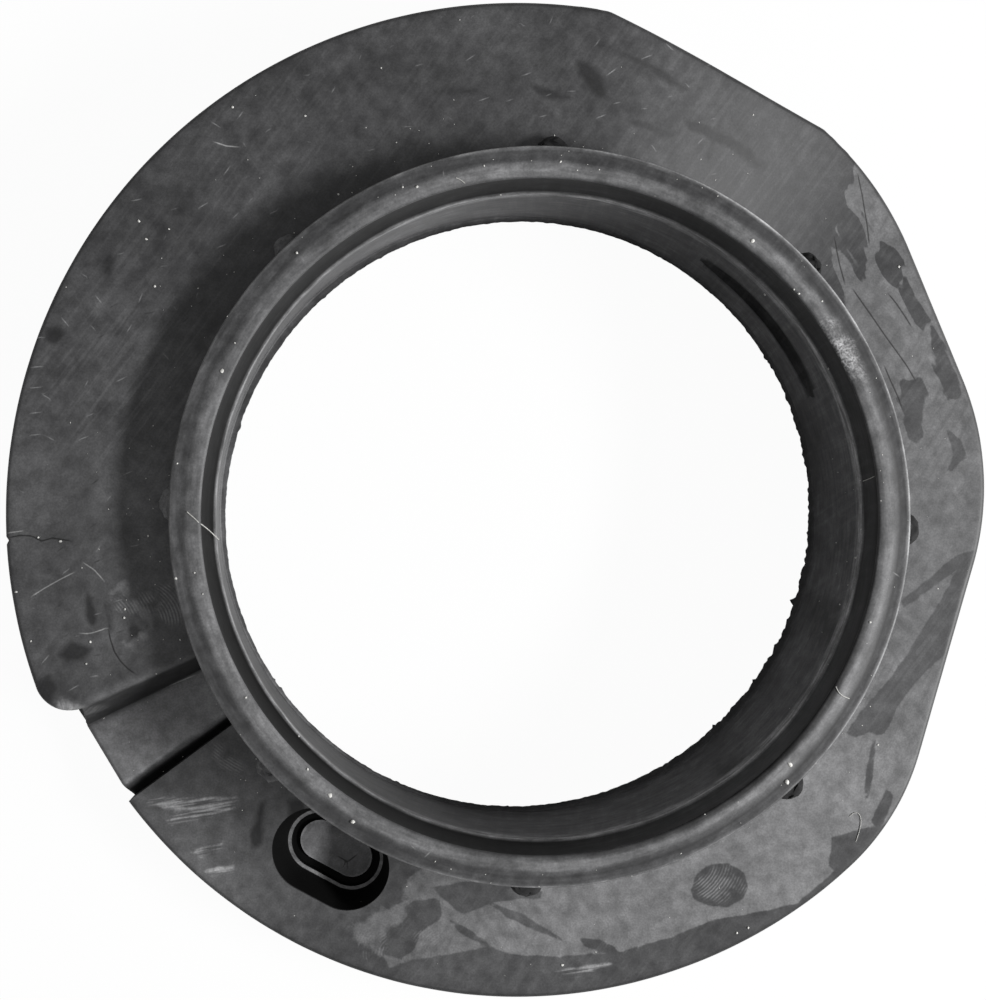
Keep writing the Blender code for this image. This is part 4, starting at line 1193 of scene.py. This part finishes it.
# Each layer lies over the ones before it: where it is, and its colour
# Among them, the bloom is partly painted light, the crest and edge layers are painted highlights, and the
# shoulder's shade and line, the edge's shade, the funnel's shade and the recess layer are painted shade
LAYERS = (
    ("bloom_and_painted_light", "#5a5a5b"), ("lobe_streaks", "#5e5e5f"), ("film", "#757576"), ("film_rubs", "#464647"),
    ("scuff", "#272728"), ("smear", "#6a6a6b"), ("brushed", "#a2a2a3"), ("print", "#747475"),
    ("crest", "#8c8c8d"), ("shoulder_shade", "#242425"), ("edges", "#a0a0a1"), ("shoulder_line", "#202021"),
    ("scuffed_crest", "#b4b4b5"), ("edge_shade", "#1b1b1c"), ("funnel_shade", "#1a1a1b"),
    ("recess", "#060606"), ("crease", "#101010"), ("dark_tick", "#1c1c1d"), ("tick", "#8c8c8d"),
    ("scratch", "#9a9a9a"),
)
for name, code in LAYERS:
    tone = add_node(tree, "ShaderNodeMix", {0: field[name], 6: tone, 7: colour(code)}, output=2,
                    data_type="RGBA")
# Nothing on used rubber is even: (pattern, darkest and lightest share, where)
UNEVEN = (("blotches", 0.74, 1.26, 1.0), ("clouds", 0.84, 1.16, 1.0), ("mottle", 0.76, 1.24, 1.0),
          ("grain", 0.82, 1.18, 1.0), ("ring_lines", 0.68, 1.32, field["on_collar"]))
for name, darkest, lightest, where in UNEVEN:
    share = add_node(tree, "ShaderNodeMapRange", {"Value": field[name], "From Min": 0.3, "From Max": 0.7,
                                                  "To Min": darkest, "To Max": lightest})
    tone = add_node(tree, "ShaderNodeMix", {0: where, 6: tone, 7: share}, output=2, data_type="RGBA",
                    blend_type="MULTIPLY")
# Painted light: the colour is lifted up to 2.8 times on the panel, the pad and the funnel's right side
lift = add_node(tree, "ShaderNodeMapRange", {"Value": field["painted_fill_light"], "To Min": 1.0, "To Max": 2.8})
tone = add_node(tree, "ShaderNodeMix", {0: 1.0, 6: tone, 7: lift}, output=2, data_type="RGBA",
                blend_type="MULTIPLY")
tree.links.new(tone, shader.inputs["Base Color"])
print("rubber layers:", len(LAYERS))

# %% Gloss and bump
BARE_ROUGHNESS = 0.58
ROUGHNESS_SPREAD = 0.05
FILM_ROUGHNESS = 0.54
DEEP_ROUGHNESS = 0.75
RUBBER_IOR = 1.52
BUMP_HEIGHT = 0.03 * MM

gloss = add_node(tree, "ShaderNodeMapRange", {"Value": field["mottle"], "From Min": 0.3, "From Max": 0.7,
                                              "To Min": BARE_ROUGHNESS - ROUGHNESS_SPREAD,
                                              "To Max": BARE_ROUGHNESS + ROUGHNESS_SPREAD})
for name, roughness in (("film", FILM_ROUGHNESS), ("recess", DEEP_ROUGHNESS)):
    gloss = add_node(tree, "ShaderNodeMix", {0: field[name], 2: gloss, 3: roughness}, data_type="FLOAT")
tree.links.new(gloss, shader.inputs["Roughness"])
# Places with painted shade in the recesses and on the funnel are matt
matt = add_node(tree, "ShaderNodeMath", {0: field["recess"], 1: field["funnel_shade"]}, operation="MAXIMUM")
shine = add_node(tree, "ShaderNodeMapRange", {"Value": matt, "To Min": 0.5, "To Max": 0.15})
tree.links.new(shine, shader.inputs["Specular IOR Level"])
height = field["grain"]
for name, share in (("mottle", 1.5), ("crease", -2.0)):
    settings = {0: field[name], 1: share, 2: height}
    height = add_node(tree, "ShaderNodeMath", settings, operation="MULTIPLY_ADD")
bump = add_node(tree, "ShaderNodeBump", {"Height": height, "Strength": 0.35, "Distance": BUMP_HEIGHT})
tree.links.new(bump, shader.inputs["Normal"])
shader.inputs["IOR"].default_value = RUBBER_IOR
body.data.materials.clear()
body.data.materials.append(rubber)

# %% [markdown]
# ## Dust and lint
# Specks of pale dust stick to the tacky rubber, most of them on the collar, and a few textile fibres cling
# to its edges. They are real little bodies that lie on the ring and throw their own small shadows. The
# larger ones have places of their own, and fine ones are strewn by chance with a fixed seed.

# %% Dust
DUST_ON_COLLAR = (
    (-43.1, 20.9), (39.9, -36.6), (39.5, -39.2), (-26.8, 48), (-32.2, 38.2), (-41.2, 25), (44.6, 31.1),
    (34.4, 39.9), (38.2, 33.8), (41.2, 32.2), (-4.8, 50.9), (6.4, 51.5), (8.8, 50.2), (-24, -45),
    (-51.2, 0), (-49.9, -9.4), (-45.9, -11.7), (-47.1, -8.6), (-39.6, -26.8), (-33.2, -33.8),
    (-30.6, -37.3), (-27.3, -41.1), (-2.5, 48.6), (-16.7, 47.8), (-14.6, 47.8), (51.6, -15.8),
    (49.9, -14), (51.9, -6.7), (40.5, 32.8), (47.4, 22.1),
)
DUST_ON_SEAT = (
    (-20.4, 67), (-8.6, 74.2), (-42.7, 61.1), (-31.8, 59.8), (-55.7, 41.3), (-52.3, 42.8),
    (-47.9, 33.9), (-49.7, 7.4), (36.4, 61.5), (60.4, 39.1), (34.9, -66.5), (36.7, -65.7), (7.2, -71.7),
    (57.1, -36.5), (-66.2, -32.7), (-51.2, -9.5), (-50.6, -18.9), (-59, -15.6), (-73, -19.1),
    (-75.2, -11.7), (-64.7, -22.5), (-29.4, -44.7), (-41.3, -37.5), (-55.4, -3.3), (-54.4, 34.2),
    (-56.8, 44), (-58.9, -14.3), (-64.1, -19.2), (55.8, -17.6), (-71.9, -3.5), (-68.6, -4.1),
)
BIG_DUST = ((39.9, -36.6), (39.5, -39.2), (-43.1, 20.9), (-51.2, 0), (34.4, 39.9), (-27.3, -41.1), (-24, -45))
BIG_RADIUS = 0.30
SMALL_RADII = (0.10, 0.19)
FINE_RADII = (0.035, 0.085)
FINE_COUNT = 240
TOP_OF_BOX = CAD_BOX[1][2]

surface = BVHTree.FromPolygons([vertex.co for vertex in body.data.vertices],
                               [polygon.vertices for polygon in body.data.polygons])


def lie_on_ring(x, y):
    """The place straight below a point given in millimetres about the bore's axis, or None over the bore."""
    above = Vector((BORE_AXIS.x + x * MM, BORE_AXIS.y + y * MM, 2 * COLLAR_HEIGHT))
    return surface.ray_cast(above, Vector((0, 0, -1)))[0]


grains = []
for spot in DUST_ON_COLLAR + DUST_ON_SEAT:
    grains.append((spot, BIG_RADIUS if spot in BIG_DUST else chooser.uniform(*SMALL_RADII)))
for index in range(FINE_COUNT):
    spot = direction(chooser.uniform(0, 360)) * chooser.triangular(49, 76, 52)
    grains.append((tuple(spot), chooser.uniform(*FINE_RADII)))
dust_shape = bmesh.new()
for (x, y), radius in grains:
    under = lie_on_ring(x, y)
    if under is None:
        continue
    low = min(under.z + 0.3 * radius * MM, TOP_OF_BOX - (0.7 * radius + 0.01) * MM)
    turned = Matrix.Rotation(chooser.uniform(0, pi), 4, "Z")
    stretch = Matrix.Diagonal((chooser.uniform(0.8, 1.5), 1.0, 0.7, 1.0))
    lying = Matrix.Translation((under.x, under.y, low)) @ turned @ stretch
    made = bmesh.ops.create_icosphere(dust_shape, subdivisions=2, radius=radius * MM, matrix=lying)
    for vertex in made["verts"]:
        fine = vertex.co * 5000
        push = Vector((noise.noise(fine), noise.noise(fine + Vector((7, 7, 7))), 0))
        vertex.co += push * 0.35 * radius * MM
dust = finish_mesh("dust_specks", dust_shape)
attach(dust, "root")
print("dust specks:", len(grains))

# %% Lint
# Fibres as (x, y, height over the ring) and half the thickness of the thread, in millimetres
FIBRES = (
    (((-48.2, 0.3, 0.1), (-46.9, -0.8, 0.15), (-46.6, -1.2, 0.1)), 0.08),
    (((46.6, -25.2, 0.05), (46.8, -25.8, 0.1), (47.2, -26.3, 0.12), (47.8, -26.7, 0.1),
      (48.6, -27.0, 0.05)), 0.07),
    (((52.6, -47.9, 0.05), (53.2, -47.2, 0.1), (54.1, -47.3, 0.1), (54.5, -48.4, 0.1), (54.2, -50.2, 0.1),
      (53.6, -51.9, 0.05)), 0.045),
    (((-8.9, 49.1, 0.05), (-8.1, 48.8, 0.12), (-7.6, 48.3, 0.05)), 0.06),
    (((52.6, 5.0, 0.05), (52.9, 5.6, 0.08), (53.1, 6.4, 0.05)), 0.05),
)
# The first fibre ends as a hair that hangs down the collar's inner wall: (x, y, height over the floor)
HAIR_END = ((-46.1, -1.7, 25.6), (-45.6, -2.6, 23.0), (-45.3, -3.9, 18.6))


def thread(places, half_thickness):
    """A smooth round thread through some places in metres, as a closed mesh."""
    curve = bpy.data.curves.new("thread", "CURVE")
    curve.dimensions = "3D"
    curve.bevel_depth = half_thickness * MM
    curve.bevel_resolution = 2
    curve.use_fill_caps = True
    spline = curve.splines.new("NURBS")
    spline.points.add(len(places) - 1)
    for point, place in zip(spline.points, places):
        point.co = (*place, 1)
    spline.order_u = 3
    spline.use_endpoint_u = True
    spline.resolution_u = 6
    holder = bpy.data.objects.new("thread", curve)
    made = bpy.data.meshes.new_from_object(holder)
    bpy.data.objects.remove(holder)
    return made


lint_shape = bmesh.new()
for index, (route, half_thickness) in enumerate(FIBRES):
    places = []
    highest = TOP_OF_BOX - 1.2 * half_thickness * MM
    for x, y, over in route:
        under = lie_on_ring(x, y)
        places.append((under.x, under.y, min(under.z + over * MM, highest)))
    if index == 0:
        places += [(BORE_AXIS.x + x * MM, BORE_AXIS.y + y * MM, z * MM) for x, y, z in HAIR_END]
    lint_shape.from_mesh(thread(places, half_thickness))
lint = finish_mesh("lint_fibres", lint_shape, smooth_angle=80)
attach(lint, "root")
print("fibres:", len(FIBRES))

# %% Dust and lint materials
FINISHES = ((dust, "pale_dust", "#dddcd8", 0.95), (lint, "textile_fibre", "#c4c3bf", 0.7))
for piece, name, code, roughness in FINISHES:
    finish, tree, shader = new_material(name)
    place = add_node(tree, "ShaderNodeTexCoord", output="Object")
    fleck = add_node(tree, "ShaderNodeTexNoise", {"Vector": place, "Scale": 2500.0, "Detail": 3.0})
    share = add_node(tree, "ShaderNodeMapRange", {"Value": fleck, "From Min": 0.3, "From Max": 0.7,
                                                  "To Min": 0.7, "To Max": 1.1})
    tone = add_node(tree, "ShaderNodeMix", {0: 1.0, 6: colour(code), 7: share}, output=2, data_type="RGBA",
                    blend_type="MULTIPLY")
    tree.links.new(tone, shader.inputs["Base Color"])
    bump = add_node(tree, "ShaderNodeBump", {"Height": fleck, "Strength": 0.5, "Distance": 0.02 * MM})
    tree.links.new(bump, shader.inputs["Normal"])
    shader.inputs["Roughness"].default_value = roughness
    piece.data.materials.append(finish)
print("finishes:", len(FINISHES))

# %% [markdown]
# ## Floor, light and camera
# A seamless white ground. The lamp stands low at the right, where the photograph's highlights point, and is
# wide, so that shadows have soft borders. A pale world fills them. The camera sees the ground as almost
# pure white with a trace of shadow, and the light that bounces to the ring comes from plain pale paper.

# %% Studio
LAMP_AZIMUTH = -13.0
LAMP_ELEVATION = 33.5
LAMP_DISTANCE = 0.60
LAMP_SIZE = (0.36, 0.07)
LAMP_POWER = 4.9
WORLD_STRENGTH = 0.30
FLOOR_SIZE = 2.0
FLOOR_GAP = 0.05 * MM
FLOOR_GLOW = 0.96

floor_shape = bmesh.new()
bmesh.ops.create_grid(floor_shape, x_segments=1, y_segments=1, size=FLOOR_SIZE,
                      matrix=Matrix.Translation((0, 0, -FLOOR_GAP)))
floor = finish_mesh("studio_floor", floor_shape)
paper, tree, shader = new_material("white_ground")
shader.inputs["Base Color"].default_value = colour("#f4f4f4")
shader.inputs["Roughness"].default_value = 0.9
shader.inputs["Specular IOR Level"].default_value = 0.1
seen = add_node(tree, "ShaderNodeLightPath", output="Is Camera Ray")
glow = add_node(tree, "ShaderNodeEmission", {"Color": (1, 1, 1, 1), "Strength": 1.0})
share = add_node(tree, "ShaderNodeMath", {0: seen, 1: FLOOR_GLOW}, operation="MULTIPLY")
mixed = add_node(tree, "ShaderNodeMixShader", {0: share, 1: shader.outputs[0], 2: glow})
tree.links.new(mixed, tree.nodes["Material Output"].inputs["Surface"])
floor.data.materials.append(paper)

world = bpy.data.worlds.new("studio_world")
bpy.context.scene.world = world
world.use_nodes = True
tree = world.node_tree
soft = tree.nodes["Background"]
soft.inputs["Color"].default_value = (1, 1, 1, 1)
soft.inputs["Strength"].default_value = WORLD_STRENGTH
white = add_node(tree, "ShaderNodeBackground", {"Color": (1, 1, 1, 1), "Strength": 1.0})
seen = add_node(tree, "ShaderNodeLightPath", output="Is Camera Ray")
mixed = add_node(tree, "ShaderNodeMixShader", {0: seen, 1: soft.outputs[0], 2: white})
tree.links.new(mixed, tree.nodes["World Output"].inputs["Surface"])

lamp_data = bpy.data.lights.new("key_lamp", "AREA")
lamp_data.shape = "ELLIPSE"
lamp_data.size, lamp_data.size_y = LAMP_SIZE
lamp_data.energy = LAMP_POWER
lamp = bpy.data.objects.new("key_lamp", lamp_data)
bpy.context.scene.collection.objects.link(lamp)
towards = Vector((*(direction(LAMP_AZIMUTH) * cos(radians(LAMP_ELEVATION))), sin(radians(LAMP_ELEVATION))))
lamp.location = towards * LAMP_DISTANCE
lamp.rotation_euler = towards.to_track_quat("Z", "Y").to_euler()

# %% Camera
CAMERA_HEIGHT = 234.0 * MM
PIXEL_AT_BASE = 0.165 * MM
SENSOR = 36.0
PHOTO_LONG_SIDE = 1000
# The bore's axis stands a little off the photograph's middle, as shares of its long side
PHOTO_SHIFT = (-0.024, 0.014)

camera_data = bpy.data.cameras.new("overhead_camera")
camera_data.sensor_width = SENSOR
camera_data.lens = SENSOR * CAMERA_HEIGHT / (PHOTO_LONG_SIDE * PIXEL_AT_BASE)
camera_data.shift_x, camera_data.shift_y = PHOTO_SHIFT
camera_data.clip_start = 0.01
camera = bpy.data.objects.new("overhead_camera", camera_data)
bpy.context.scene.collection.objects.link(camera)
camera.location = (*BORE_AXIS, CAMERA_HEIGHT)
bpy.context.scene.camera = camera
bpy.context.scene.view_settings.view_transform = "Standard"
